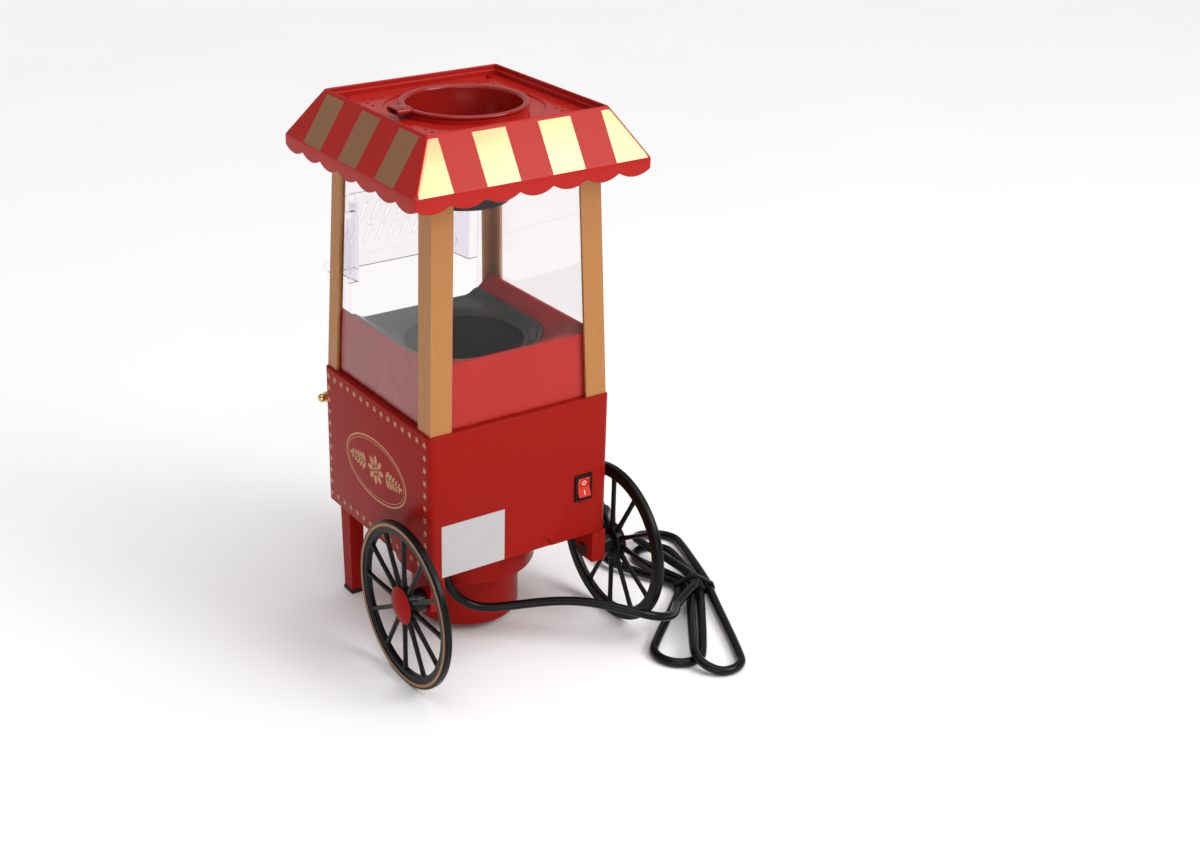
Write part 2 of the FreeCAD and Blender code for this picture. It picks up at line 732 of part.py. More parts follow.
def make_motor_housing():
    inner = HOUSING_RADIUS - HOUSING_WALL
    tier_inner = HOUSING_TIER_RADIUS - HOUSING_WALL
    tier_z = HOUSING_SHOULDER + HOUSING_TAPER
    flange_z = BASE_BOTTOM - FLOOR_THICKNESS
    sill = GRILLE_RADIUS - HOUSING_WALL
    floor_z = HOUSING_BOTTOM + HOUSING_WALL
    cup = turned([(sill, HOUSING_BOTTOM), (HOUSING_RADIUS - HOUSING_EDGE, HOUSING_BOTTOM),
                  (HOUSING_RADIUS, HOUSING_BOTTOM + HOUSING_EDGE), (HOUSING_RADIUS, HOUSING_SHOULDER),
                  (HOUSING_TIER_RADIUS, tier_z), (HOUSING_TIER_RADIUS, flange_z),
                  (HOUSING_FLANGE_RADIUS, flange_z), (HOUSING_FLANGE_RADIUS, BASE_BOTTOM),
                  (tier_inner, BASE_BOTTOM), (tier_inner, tier_z + HOUSING_WALL / 2),
                  (inner, HOUSING_SHOULDER + HOUSING_WALL / 2), (inner, floor_z), (sill, floor_z)])
    for x, y in around(HOUSING_SCREWS, housing_screw_radius(), 90.0):
        cup = cup.cut(screw_hole(x, y, flange_z - THROUGH, BASE_BOTTOM + THROUGH))
    notch = upright(GLAND_RADIUS + GLAND_GAP, flange_z - THROUGH, BASE_BOTTOM + THROUGH, GLAND_X, GLAND_Y)
    return cup.cut(notch)


def make_intake_grille():
    z = HOUSING_BOTTOM + HOUSING_WALL
    disc = upright(GRILLE_RADIUS, z, z + GRILLE_THICKNESS)
    pitch = 2 * GRILLE_RADIUS / (GRILLE_SLOTS + 1)
    for index in range(GRILLE_SLOTS):
        x = pitch * (index - (GRILLE_SLOTS - 1) / 2)
        half = math.sqrt(GRILLE_RADIUS ** 2 - x * x) - 2 * GRILLE_SLOT
        disc = disc.cut(box(x - GRILLE_SLOT / 2, x + GRILLE_SLOT / 2, -half, half,
                            z - THROUGH, z + GRILLE_THICKNESS + THROUGH))
    return disc


def make_motor_can():
    nose_top = MOTOR_TOP + MOTOR_NOSE
    bore = SHAFT_RADIUS + RUNNING_FIT
    return turned([(bore, MOTOR_BOTTOM), (MOTOR_RADIUS, MOTOR_BOTTOM), (MOTOR_RADIUS, MOTOR_TOP),
                   (MOTOR_NOSE_RADIUS, MOTOR_TOP), (MOTOR_NOSE_RADIUS, nose_top), (bore, nose_top)])


def make_motor_carrier():
    top = MOTOR_TOP + CARRIER_THICKNESS
    column_radius = HOUSING_TIER_RADIUS - HOUSING_WALL - CARRIER_COLUMN - FIT
    pieces = [upright(CARRIER_RADIUS, MOTOR_TOP, top)]
    for index, (x, y) in enumerate(around(HOUSING_SCREWS, column_radius, 30.0)):
        arm = box(0, column_radius, -CARRIER_ARM / 2, CARRIER_ARM / 2, MOTOR_TOP, top)
        arm.rotate(V(0, 0, 0), UP, 30.0 + 360.0 * index / HOUSING_SCREWS)
        pieces += [arm, upright(CARRIER_COLUMN, MOTOR_TOP, BASE_BOTTOM, x, y)]
    hole = upright(MOTOR_NOSE_RADIUS + FIT, MOTOR_TOP - THROUGH, top + THROUGH)
    return joined(pieces).cut(hole)


def make_rectifier_board():
    z = MOTOR_BOTTOM - BOARD_THICKNESS
    board = ring(BOARD_RADIUS, 2 * SHAFT_RADIUS, z, MOTOR_BOTTOM)
    diodes = []
    for x, y in around(4, BOARD_RADIUS * 0.65, 45.0):
        diodes.append(rod(DIODE_RADIUS, V(x - DIODE_LENGTH / 2, y, z), V(x + DIODE_LENGTH / 2, y, z)))
    return joined([board] + diodes)


def make_motor_shaft():
    return upright(SHAFT_RADIUS, MOTOR_BOTTOM - SHAFT_TAIL, FAN_BOTTOM + FAN_HEIGHT + SHAFT_RADIUS)


def make_fan_impeller():
    top = FAN_BOTTOM + FAN_HEIGHT
    pieces = [upright(FAN_HUB_RADIUS, FAN_BOTTOM, top)]
    half_height = FAN_HEIGHT / 2 - FAN_BLADE
    for index in range(FAN_BLADES):
        blade = box(FAN_HUB_RADIUS - FAN_BLADE, FAN_RADIUS, -FAN_BLADE / 2, FAN_BLADE / 2,
                    -half_height, half_height)
        blade.rotate(V(0, 0, 0), ALONG_X, FAN_PITCH)
        blade.translate(V(0, 0, FAN_BOTTOM + FAN_HEIGHT / 2))
        blade.rotate(V(0, 0, 0), UP, 360.0 * index / FAN_BLADES)
        pieces.append(blade)
    bore = upright(SHAFT_RADIUS, FAN_BOTTOM - THROUGH, top + THROUGH)
    return joined(pieces).cut(bore)


# Running gear, drawn for the right side

def across(radius, x0, x1):
    return rod(radius, V(x0, WHEEL_Y, WHEEL_RADIUS), V(x1, WHEEL_Y, WHEEL_RADIUS))


def make_wheel():
    bracket_face = HALF_X + FIT
    rim = across(WHEEL_RADIUS, WHEEL_INNER_X, WHEEL_OUTER_X)
    rim = rim.cut(across(WHEEL_RADIUS - RIM_DEPTH, WHEEL_INNER_X - THROUGH, WHEEL_OUTER_X + THROUGH))
    hub_inner = WHEEL_OUTER_X - HUB_THICKNESS
    hub = across(HUB_RADIUS, hub_inner, WHEEL_OUTER_X)
    pieces = [rim, hub, across(HUB_BOSS_RADIUS, bracket_face, WHEEL_OUTER_X)]
    spoke_x = WHEEL_OUTER_X - RIM_WIDTH / 2
    for index in range(SPOKES):
        spoke = box(spoke_x - SPOKE_THICKNESS / 2, spoke_x + SPOKE_THICKNESS / 2, WHEEL_Y - SPOKE_WIDTH / 2,
                    WHEEL_Y + SPOKE_WIDTH / 2, WHEEL_RADIUS + HUB_RADIUS / 2, 2 * WHEEL_RADIUS - RIM_DEPTH / 2)
        spoke.rotate(V(0, WHEEL_Y, WHEEL_RADIUS), ALONG_X, 360.0 * index / SPOKES)
        pieces.append(spoke)
    wheel = joined(pieces)
    wheel = wheel.cut(across(AXLE_RADIUS + RUNNING_FIT, bracket_face - THROUGH, WHEEL_OUTER_X))
    return wheel.cut(across(HUB_RECESS_RADIUS, WHEEL_OUTER_X - HUB_RECESS, WHEEL_OUTER_X + THROUGH))


def make_hub_cap():
    dome_radius = (CAP_RADIUS ** 2 + CAP_HEIGHT ** 2) / (2 * CAP_HEIGHT)
    face = WHEEL_OUTER_X
    centre = V(face + CAP_HEIGHT - dome_radius, WHEEL_Y, WHEEL_RADIUS)
    dome = Part.makeSphere(dome_radius, centre)
    cap = across(CAP_RADIUS, face, face + CAP_HEIGHT).common(dome)
    return cap.cut(across(HUB_RECESS_RADIUS, face - THROUGH, face + CAP_HEIGHT - CAP_WALL))


def make_axle():
    seat = HALF_X - BRACKET_WIDTH
    end = WHEEL_OUTER_X - HUB_RECESS + FIT + 2 * CLIP_THICKNESS
    shaft = across(AXLE_RADIUS, seat - AXLE_HEAD, end)
    return joined([shaft, across(AXLE_HEAD_RADIUS, seat - AXLE_HEAD, seat)])


def make_axle_clip():
    start = WHEEL_OUTER_X - HUB_RECESS + FIT
    clip = across(CLIP_RADIUS, start, start + CLIP_THICKNESS)
    return clip.cut(across(AXLE_RADIUS + RUNNING_FIT, start - THROUGH, start + 2 * CLIP_THICKNESS))


def make_axle_bracket():
    x0 = HALF_X - BRACKET_WIDTH
    front = HALF_Y - BRACKET_DEPTH
    bottom = BASE_BOTTOM - BRACKET_DROP
    block = slab_in_yz([(front, BASE_BOTTOM), (HALF_Y, BASE_BOTTOM), (HALF_Y, bottom),
                        (front + BRACKET_SLANT / 3, bottom), (front, bottom + BRACKET_SLANT)], x0, HALF_X)
    block = block.cut(across(AXLE_RADIUS + RUNNING_FIT, x0 - THROUGH, HALF_X + THROUGH))
    for x, y in bracket_screw_places()[:2]:
        block = block.cut(screw_hole(x, y, bottom + BRACKET_DROP / 2, BASE_BOTTOM + THROUGH))
    return block


def make_front_leg():
    low = (LEG_X - LEG_WIDTH / 2 + LEG_TAPER, LEG_X + LEG_WIDTH / 2 - LEG_TAPER,
           LEG_Y - LEG_DEPTH / 2 + LEG_TAPER, LEG_Y + LEG_DEPTH / 2 - LEG_TAPER)
    high = (LEG_X - LEG_WIDTH / 2, LEG_X + LEG_WIDTH / 2, LEG_Y - LEG_DEPTH / 2, LEG_Y + LEG_DEPTH / 2)
    leg = tapered_wall(low, high, FOOT_HEIGHT, BASE_BOTTOM)
    return leg.cut(screw_hole(LEG_X, LEG_Y, BASE_BOTTOM - BRACKET_DROP, BASE_BOTTOM + THROUGH))


def make_foot_pad():
    half_x = LEG_WIDTH / 2 - LEG_TAPER + FOOT_LIP
    half_y = LEG_DEPTH / 2 - LEG_TAPER + FOOT_LIP
    return box(LEG_X - half_x, LEG_X + half_x, LEG_Y - half_y, LEG_Y + half_y, 0, FOOT_HEIGHT)


# Switch, label and handle

def make_switch_bezel():
    half_width = BEZEL_WIDTH / 2
    half_height = BEZEL_HEIGHT / 2
    body_x = half_width - SWITCH_BODY_MARGIN
    body_z = half_height - SWITCH_BODY_MARGIN
    back = HALF_Y - SWITCH_BODY_DEPTH
    frame = box(-half_width, half_width, HALF_Y, HALF_Y + BEZEL_THICKNESS, -half_height, half_height)
    body = box(-body_x, body_x, back, HALF_Y, -body_z, body_z)
    inner_x = body_x - SWITCH_BODY_WALL
    inner_z = body_z - SWITCH_BODY_WALL
    well = box(-inner_x, inner_x, back + 2 * SWITCH_BODY_WALL, HALF_Y + BEZEL_THICKNESS + THROUGH,
               -inner_z, inner_z)
    pivot = V(0, HALF_Y - ROCKER_PIVOT_DEPTH, 0)
    reach = ALONG_X * rocker_pin_end()
    sockets = rod(ROCKER_PIN + RUNNING_FIT, pivot - reach, pivot + reach)
    bezel = joined([frame, body]).cut(well).cut(sockets)
    bezel.translate(V(SWITCH_X, 0, SWITCH_Z))
    return bezel


def rocker_half_width():
    return BEZEL_WIDTH / 2 - SWITCH_BODY_MARGIN - SWITCH_BODY_WALL - FIT


def rocker_pin_end():
    return BEZEL_WIDTH / 2 - SWITCH_BODY_MARGIN - FIT


def make_switch_rocker():
    half = rocker_half_width()
    reach = BEZEL_HEIGHT / 2 - SWITCH_BODY_MARGIN - SWITCH_BODY_WALL - 3 * FIT
    face = HALF_Y + BEZEL_THICKNESS
    pivot = HALF_Y - ROCKER_PIVOT_DEPTH
    profile = [(face - FIT, 0), (face + BEZEL_THICKNESS, reach - FIT), (face, reach), (pivot, reach * 0.9),
               (pivot - 4 * ROCKER_PIN, reach / 3), (pivot - 4 * ROCKER_PIN, -reach / 3),
               (pivot, -reach * 0.9), (face, -reach), (face + BEZEL_THICKNESS, FIT - reach)]
    rocker = slab_in_yz(profile, -half, half)
    end = rocker_pin_end() - FIT / 2
    pins = rod(ROCKER_PIN, V(-end, pivot, 0), V(end, pivot, 0))
    rocker = joined([rocker, pins])
    rocker.rotate(V(0, pivot, 0), ALONG_X, ROCKER_TILT)
    rocker.translate(V(SWITCH_X, 0, SWITCH_Z))
    return rocker


def make_switch_terminals():
    back = HALF_Y - SWITCH_BODY_DEPTH
    blades = []
    for step in (-1, 0, 1):
        z = SWITCH_Z + step * TERMINAL_PITCH
        blade = box(-TERMINAL_WIDTH / 2, TERMINAL_WIDTH / 2, back - TERMINAL_LENGTH, back,
                    -TERMINAL_THICKNESS / 2, TERMINAL_THICKNESS / 2)
        blade.translate(V(SWITCH_X, 0, z))
        blades.append(blade)
    return Part.makeCompound(blades)


def make_rating_label():
    bottom = BASE_BOTTOM + LABEL_MARGIN
    return box(LABEL_X - LABEL_WIDTH / 2, LABEL_X + LABEL_WIDTH / 2, HALF_Y, HALF_Y + LABEL_THICKNESS,
               bottom, bottom + LABEL_HEIGHT)


def make_push_handle():
    y = -HALF_Y - HANDLE_STANDOFF
    half = HANDLE_HALF_LENGTH
    pieces = [rod(HANDLE_RADIUS, V(-half, y, HANDLE_Z), V(half, y, HANDLE_Z))]
    for side in (1, -1):
        collar_x = side * half
        post_x = side * HANDLE_POST_X
        ball_x = side * (half + HANDLE_COLLAR + HANDLE_BALL * 0.8)
        pieces.append(rod(HANDLE_COLLAR_RADIUS, V(collar_x, y, HANDLE_Z),
                          V(collar_x + side * HANDLE_COLLAR, y, HANDLE_Z)))
        pieces.append(Part.makeSphere(HANDLE_BALL, V(ball_x, y, HANDLE_Z)))
        pieces.append(rod(HANDLE_POST_RADIUS, V(post_x, -HALF_Y, HANDLE_Z), V(post_x, y, HANDLE_Z)))
        pieces.append(rod(HANDLE_COLLAR_RADIUS, V(post_x, -HALF_Y, HANDLE_Z),
                          V(post_x, -HALF_Y - HANDLE_COLLAR / 2, HANDLE_Z)))
    return joined(pieces)


# Tank: posts, windows, front frame and flap

def post_outline(z, leg_x, leg_y, sign_y):
    x = tank_x(z)
    y = tank_y(z)
    points = [(x, y), (x - leg_x, y), (x - leg_x, y - POST_WALL), (x - POST_WALL, y - POST_WALL),
              (x - POST_WALL, y - leg_y), (x, y - leg_y)]
    return polygon([V(px, sign_y * py, z) for px, py in points])


def make_post(leg_x, leg_y, sign_y):
    post = loft([post_outline(z, leg_x, leg_y, sign_y) for z in (BASE_TOP, TRAY_BOTTOM)])
    x = tank_x(TRAY_BOTTOM - POST_BLOCK_HEIGHT / 2) - POST_WALL / 2
    y = tank_y(TRAY_BOTTOM - POST_BLOCK_HEIGHT / 2) - POST_WALL / 2
    y0, y1 = sorted((sign_y * y, sign_y * (y - POST_BLOCK)))
    block = box(x - POST_BLOCK, x, y0, y1, TRAY_BOTTOM - POST_BLOCK_HEIGHT, TRAY_BOTTOM)
    screw_x, screw_y = roof_screw_places()[0]
    hole = screw_hole(screw_x, sign_y * screw_y, TRAY_BOTTOM - POST_BLOCK_HEIGHT - THROUGH,
                      TRAY_BOTTOM + THROUGH)
    return joined([post, block]).cut(hole)


def roof_screw_places():
    inset = POST_WALL / 2 + POST_BLOCK / 2
    return four_corners(tank_x(TRAY_BOTTOM) - inset, tank_y(TRAY_BOTTOM) - inset)


def make_side_window():
    limits = []
    for z in (BASE_TOP, WINDOW_TOP):
        x = tank_x(z) - POST_WALL
        y = tank_y(z) - POST_WALL
        limits.append((x - WINDOW_WALL, x, -y, y))
    return tapered_wall(limits[0], limits[1], BASE_TOP, WINDOW_TOP)


def end_window(sign_y):
    limits = []
    for z in (BASE_TOP, WINDOW_TOP):
        x = tank_x(z) - POST_WALL - WINDOW_WALL - RUNNING_FIT
        y0, y1 = sorted((sign_y * (tank_y(z) - POST_WALL), sign_y * (tank_y(z) - POST_WALL - WINDOW_WALL)))
        limits.append((-x, x, y0, y1))
    return tapered_wall(limits[0], limits[1], BASE_TOP, WINDOW_TOP)


def flap_pivot():
    z = FLAP_TOP_Z - FLAP_PIN_DROP
    return -(tank_y(z) - POST_WALL + EAR_RADIUS), z


def make_front_frame():
    frame = end_window(-1)
    deep = tank_y(BASE_TOP)
    frame = frame.cut(box(-JAMB_X, JAMB_X, -deep, 0, PAN_TOP - PAN_FLOOR, HEADER_Z))
    y, z = flap_pivot()
    rear = -(tank_y(z) - POST_WALL)
    ears = []
    for side in (1, -1):
        inner = FLAP_CHEEK_X + EAR_GAP
        x0, x1 = sorted((side * inner, side * (inner + EAR_THICKNESS)))
        ear = slab_in_yz([(rear, z - EAR_RADIUS), (y, z - EAR_RADIUS), (y, z + EAR_RADIUS),
                          (rear, z + 3 * EAR_RADIUS)], x0, x1)
        tip = rod(EAR_RADIUS, V(x0, y, z), V(x1, y, z))
        bridge_x0, bridge_x1 = sorted((side * inner, side * (JAMB_X + EAR_THICKNESS)))
        bridge = box(bridge_x0, bridge_x1, rear - WINDOW_WALL, rear + WINDOW_WALL,
                     z - EAR_RADIUS, z + 3 * EAR_RADIUS)
        hole = rod(FLAP_PIN_RADIUS + RUNNING_FIT, V(x0 - THROUGH, y, z), V(x1 + THROUGH, y, z))
        ears.append(joined([ear, tip, bridge]).cut(hole))
    return joined([frame] + ears)


def flap_profile():
    # Side outline of the flap: rear foot, rear top, knee of the slotted slope, front foot.
    rear_low = FLAP_BOTTOM_Z + FLAP_REAR_DROP
    gap = FIT - POST_WALL
    return [(-(tank_y(rear_low) + gap), rear_low), (-(tank_y(FLAP_TOP_Z) + gap), FLAP_TOP_Z),
            (-FLAP_FRONT, FLAP_KNEE_Z), (-FLAP_FRONT, FLAP_BOTTOM_Z)]


def make_front_flap():
    foot, top, knee, toe = flap_profile()
    slope = V(0, knee[0] - top[0], knee[1] - top[1])
    way = V(slope).normalize()
    out = V(0, way.z, -way.y)
    x = FLAP_CHEEK_X
    hood = slab_in_yz([foot, top, knee, toe], -x, x)
    hood = hood.cut(flap_inside(foot, top, way))
    middle = V(0, top[0], top[1]) + slope * 0.5
    half = (FLAP_SLOT_LENGTH - FLAP_SLOT_WIDTH) / 2
    for row in (1, -1):
        centre = middle + way * (row * (FLAP_SLOT_LENGTH + FLAP_SLOT_GAP) / 2) - out * (4 * FLAP_WALL)
        for index in range(FLAP_SLOTS):
            place = centre + ALONG_X * (FLAP_SLOT_PITCH * (index - (FLAP_SLOTS - 1) / 2))
            hood = hood.cut(capsule(place, way, ALONG_X, half, FLAP_SLOT_WIDTH / 2, out * (8 * FLAP_WALL)))
    pieces = [hood]
    pin_y, pin_z = flap_pivot()
    flange_top = pin_z - 3 * EAR_RADIUS
    lean = (top[0] - foot[0]) * (flange_top - foot[1]) / (top[1] - foot[1])
    for side in (1, -1):
        inner = side * (x - FLAP_WALL / 2)
        x0, x1 = sorted((inner, side * (x + FLAP_FLANGE)))
        upper = foot[0] + lean
        pieces.append(slab_in_yz([foot, (upper, flange_top), (upper - FLAP_WALL, flange_top),
                                  (foot[0] - FLAP_WALL, foot[1])], x0, x1))
        pin_end = side * (x + EAR_GAP + FLAP_PIN_OUT)
        pieces.append(rod(FLAP_PIN_RADIUS, V(inner, pin_y, pin_z), V(pin_end, pin_y, pin_z)))
    radius = FLAP_LIP_HEIGHT / 2
    lip_front = V(0, -FLAP_FRONT - FLAP_LIP_STAND, FLAP_BOTTOM_Z + radius)
    pieces.append(capsule(lip_front, ALONG_X, UP, FLAP_LIP_X - radius, radius, ALONG_Y * FLAP_WALL))
    return joined(pieces)


def flap_inside(foot, top, way):
    # Space under the hood, open below and towards the tank.
    drop = FLAP_WALL / abs(way.y)
    back = foot[0] + 4 * FLAP_WALL
    front = -FLAP_FRONT + FLAP_WALL
    rise = way.z / way.y
    low = FLAP_BOTTOM_Z - FLAP_WALL
    line = [(y, top[1] - drop + (y - top[0]) * rise) for y in (back, front)]
    half = FLAP_CHEEK_X - FLAP_WALL
    return slab_in_yz([(back, low), line[0], line[1], (front, low)], -half, half)


def capsule(place, way, side_way, half, radius, depth):
    # Round-ended bar about place, drawn along way and drawn out by depth.
    side = side_way * radius
    start = place - way * half
    end = place + way * half
    edges = [
        Part.LineSegment(start - side, end - side).toShape(),
        Part.Arc(end - side, end + way * radius, end + side).toShape(),
        Part.LineSegment(end + side, start + side).toShape(),
        Part.Arc(start + side, start - way * radius, start - side).toShape(),
    ]
    return Part.Face(Part.Wire(edges)).extrude(depth)


# Roof

def roof_half(z):
    return ROOF_EAVE_HALF - (ROOF_EAVE_HALF - ROOF_TOP_HALF) * (z - ROOF_EAVE_Z) / ROOF_HEIGHT


def scalloped_strip():
    # One side of the valance, standing in the XZ plane with its top at the eave.
    half = ROOF_EAVE_HALF
    pitch = 2 * half / SCALLOPS
    high = ROOF_EAVE_Z - SCALLOP_HIGH
    low = ROOF_EAVE_Z - SCALLOP_LOW
    edges = [Part.LineSegment(V(-half, 0, high), V(-half, 0, ROOF_EAVE_Z)).toShape(),
             Part.LineSegment(V(-half, 0, ROOF_EAVE_Z), V(half, 0, ROOF_EAVE_Z)).toShape(),
             Part.LineSegment(V(half, 0, ROOF_EAVE_Z), V(half, 0, high)).toShape()]
    for index in range(SCALLOPS):
        start = half - pitch * index
        ends = V(start, 0, high), V(start - pitch, 0, high)
        edges.append(Part.Arc(ends[0], V(start - pitch / 2, 0, low), ends[1]).toShape())
    strip = Part.Face(Part.Wire(edges)).extrude(V(0, VALANCE_WALL, 0))
    strip.translate(V(0, -half, 0))
    return strip


def make_canopy():
    outer = loft([rectangle(roof_half(ROOF_EAVE_Z), roof_half(ROOF_EAVE_Z), ROOF_EAVE_Z),
                  rectangle(ROOF_TOP_HALF, ROOF_TOP_HALF, ROOF_TOP_Z)])
    low = ROOF_EAVE_Z - THROUGH
    high = ROOF_TOP_Z + THROUGH
    inner = loft([rectangle(roof_half(low) - ROOF_WALL, roof_half(low) - ROOF_WALL, low),
                  rectangle(roof_half(high) - ROOF_WALL, roof_half(high) - ROOF_WALL, high)])
    pieces = [outer.cut(inner)]
    for turn in range(4):
        strip = scalloped_strip()
        strip.rotate(V(0, 0, 0), UP, 90.0 * turn)
        pieces.append(strip)
    return joined(pieces)


def make_canopy_tray():
    gap = ROOF_WALL + FIT / 2
    tray = loft([rectangle(roof_half(TRAY_BOTTOM) - gap, roof_half(TRAY_BOTTOM) - gap, TRAY_BOTTOM),
                 rectangle(roof_half(TRAY_TOP) - gap, roof_half(TRAY_TOP) - gap, TRAY_TOP)])
    collar = upright(COLLAR_RADIUS, TRAY_BOTTOM, TRAY_TOP + COLLAR_HEIGHT)
    hole = upright(COLLAR_RADIUS - COLLAR_WALL, TRAY_BOTTOM - THROUGH, TRAY_TOP + COLLAR_HEIGHT + THROUGH)
    dish = ring(COLLAR_RADIUS + DISH_WIDTH, COLLAR_RADIUS, TRAY_TOP - DISH_DEPTH, TRAY_TOP + THROUGH)
    tray = tray.cut(dish).fuse(collar).cut(hole)
    for x, y in roof_screw_places():
        tray = tray.cut(screw_hole(x, y, TRAY_BOTTOM - THROUGH, TRAY_TOP + THROUGH))
    return tray.cut(Part.makeCompound(vent_holes())).removeSplitter()


def vent_holes():
    start = roof_screw_places()[0][0] - VENT_PITCH
    offsets = [(0, 0), (1, 0), (0, 1), (2, 0), (0, 2)]
    holes = []
    for sign_x in (1, -1):
        for sign_y in (1, -1):
            for step_x, step_y in offsets:
                x = sign_x * (start - VENT_PITCH * step_x)
                y = sign_y * (start - VENT_PITCH * step_y)
                holes.append(upright(VENT_RADIUS, TRAY_BOTTOM - THROUGH, TRAY_TOP + THROUGH, x, y))
    return holes


def make_feed_bowl():
    flange_radius = COLLAR_RADIUS + 2 * BOWL_WALL
    inner_top = COLLAR_RADIUS - COLLAR_WALL
    inner_bottom = BOWL_BOTTOM_RADIUS - BOWL_WALL
    neck_z = TRAY_BOTTOM - 2 * BOWL_WALL
    return turned([(BOWL_HOLE_RADIUS, BOWL_BOTTOM_Z), (BOWL_BOTTOM_RADIUS, BOWL_BOTTOM_Z),
                   (COLLAR_RADIUS, neck_z), (flange_radius, TRAY_BOTTOM - BOWL_WALL),
                   (flange_radius, TRAY_BOTTOM), (inner_top, TRAY_BOTTOM), (inner_top, neck_z),
                   (inner_bottom, BOWL_BOTTOM_Z + BOWL_WALL), (BOWL_HOLE_RADIUS, BOWL_BOTTOM_Z + BOWL_WALL)])


def make_measuring_cup():
    rim_top = CUP_SEAT + CUP_RIM_HEIGHT
    throat = COLLAR_RADIUS - COLLAR_WALL - 2 * FIT
    bottom = rim_top - CUP_DEPTH
    cup = turned([(0, bottom), (CUP_BOTTOM_RADIUS - CUP_WALL, bottom), (CUP_BOTTOM_RADIUS, bottom + CUP_WALL),
                  (throat, TRAY_BOTTOM), (throat, CUP_SEAT), (CUP_RIM_RADIUS, CUP_SEAT),
                  (CUP_RIM_RADIUS, rim_top), (throat - CUP_WALL, rim_top), (throat - CUP_WALL, TRAY_BOTTOM),
                  (CUP_BOTTOM_RADIUS - CUP_WALL, bottom + CUP_WALL), (0, bottom + CUP_WALL)])
    tab = box(CUP_RIM_RADIUS - CUP_WALL, CUP_TAB_REACH, -CUP_TAB_WIDTH / 2, CUP_TAB_WIDTH / 2, CUP_SEAT,
              CUP_SEAT + CUP_TAB_HEIGHT)
    slot = box(CUP_RIM_RADIUS + CUP_WALL, CUP_TAB_REACH + THROUGH, CUP_WALL - CUP_TAB_WIDTH / 2,
               CUP_TAB_WIDTH / 2 - CUP_WALL, CUP_SEAT + CUP_WALL / 2, CUP_SEAT + CUP_TAB_HEIGHT - CUP_WALL / 2)
    return joined([cup, tab.cut(slot)])


# Mains lead: gland, lead, hank, tie and plug

LEAD_ROUTE = [(GLAND_X, GLAND_Y, BASE_BOTTOM + POCKET_DEPTH - GLAND_LENGTH), (GLAND_X, GLAND_Y, 59.4),
              (38.8, 46.1, 45.9), (29.3, 50.0, 35.6), (16.9, 55.1, 30.2), (1.0, 62.5, 30.5),
              (-16.0, 72.0, 33.0), (-32.0, 84.0, 36.0), (-46.5, 97.0, 37.5), (-60.0, 110.5, 36.5),
              (-76.0, 126.0, 33.0), (-93.0, 132.5, 27.0), (-110.0, 127.0, 20.3), (-124.5, 112.0, 15.8)]


def make_cord_gland():
    seat = BASE_BOTTOM + POCKET_DEPTH
    collar = upright(POCKET_RADIUS - FIT, seat - 2 * POCKET_WALL, seat, GLAND_X, GLAND_Y)
    tip = V(GLAND_X, GLAND_Y, seat - GLAND_LENGTH)
    sleeve = Part.makeCone(GLAND_TIP_RADIUS, GLAND_RADIUS, GLAND_LENGTH, tip)
    return joined([collar, sleeve])


def make_cord_lead():
    edges, radii = rounded_route([V(*point) for point in LEAD_ROUTE])
    tube, length = round_tube(edges, CORD_DIAMETER / 2)
    area = math.pi * CORD_DIAMETER ** 2 / 4
    share = tube.Volume / (area * length)
    print("cord lead: length %.1f, volume over section times length %.4f" % (length, share))
    print("cord lead: radii", " ".join("%.1f" % radius for radius in radii))
    return tube


def hank_point(along, side, z):
    # Along the hank from its tie towards the lower loops, then sideways towards the object.
    turn = math.radians(HANK_TURN)
    return V(HANK_X + along * math.cos(turn) + side * math.sin(turn),
             HANK_Y + along * math.sin(turn) - side * math.cos(turn), z)


def hank_way(along, side, rise=0.0):
    return (hank_point(along, side, rise) - hank_point(0, 0, 0)).normalize()


def hank_loop(end, reach, aim, half_width, enter_side, heights):
    # Stations of one loop: shoulder, crown, shoulder. end is 1 for the lower loops and -1 for the upper ones.
    lean = math.radians(aim)
    ahead = (end * math.cos(lean), math.sin(lean))
    aside = (-end * math.sin(lean), math.cos(lean))
    centre = ((reach - half_width) * ahead[0], (reach - half_width) * ahead[1])
    first, crown, last = heights
    stations = []
    for turn, z in ((0.0, first), (90.0, crown), (180.0, last)):
        swing = math.radians(turn)
        out = half_width * math.cos(swing) * enter_side
        forth = half_width * math.sin(swing)
        place = hank_point(centre[0] + ahead[0] * forth + aside[0] * out,
                           centre[1] + ahead[1] * forth + aside[1] * out, z)
        go_out = -math.sin(swing) * enter_side
        go_forth = math.cos(swing)
        way = hank_way(ahead[0] * go_forth + aside[0] * go_out, ahead[1] * go_forth + aside[1] * go_out)
        stations.append((place, way))
    return stations


def waist(slot, up, upper_layer=False):
    z = CORD_DIAMETER / 2 + LEAD_REST + WAIST_LIFT
    if upper_layer:
        z += STRAND_LIFT
    return hank_point(0.0, slot * STRAND_PITCH / 2, z), hank_way(-1.0 if up else 1.0, 0.0)


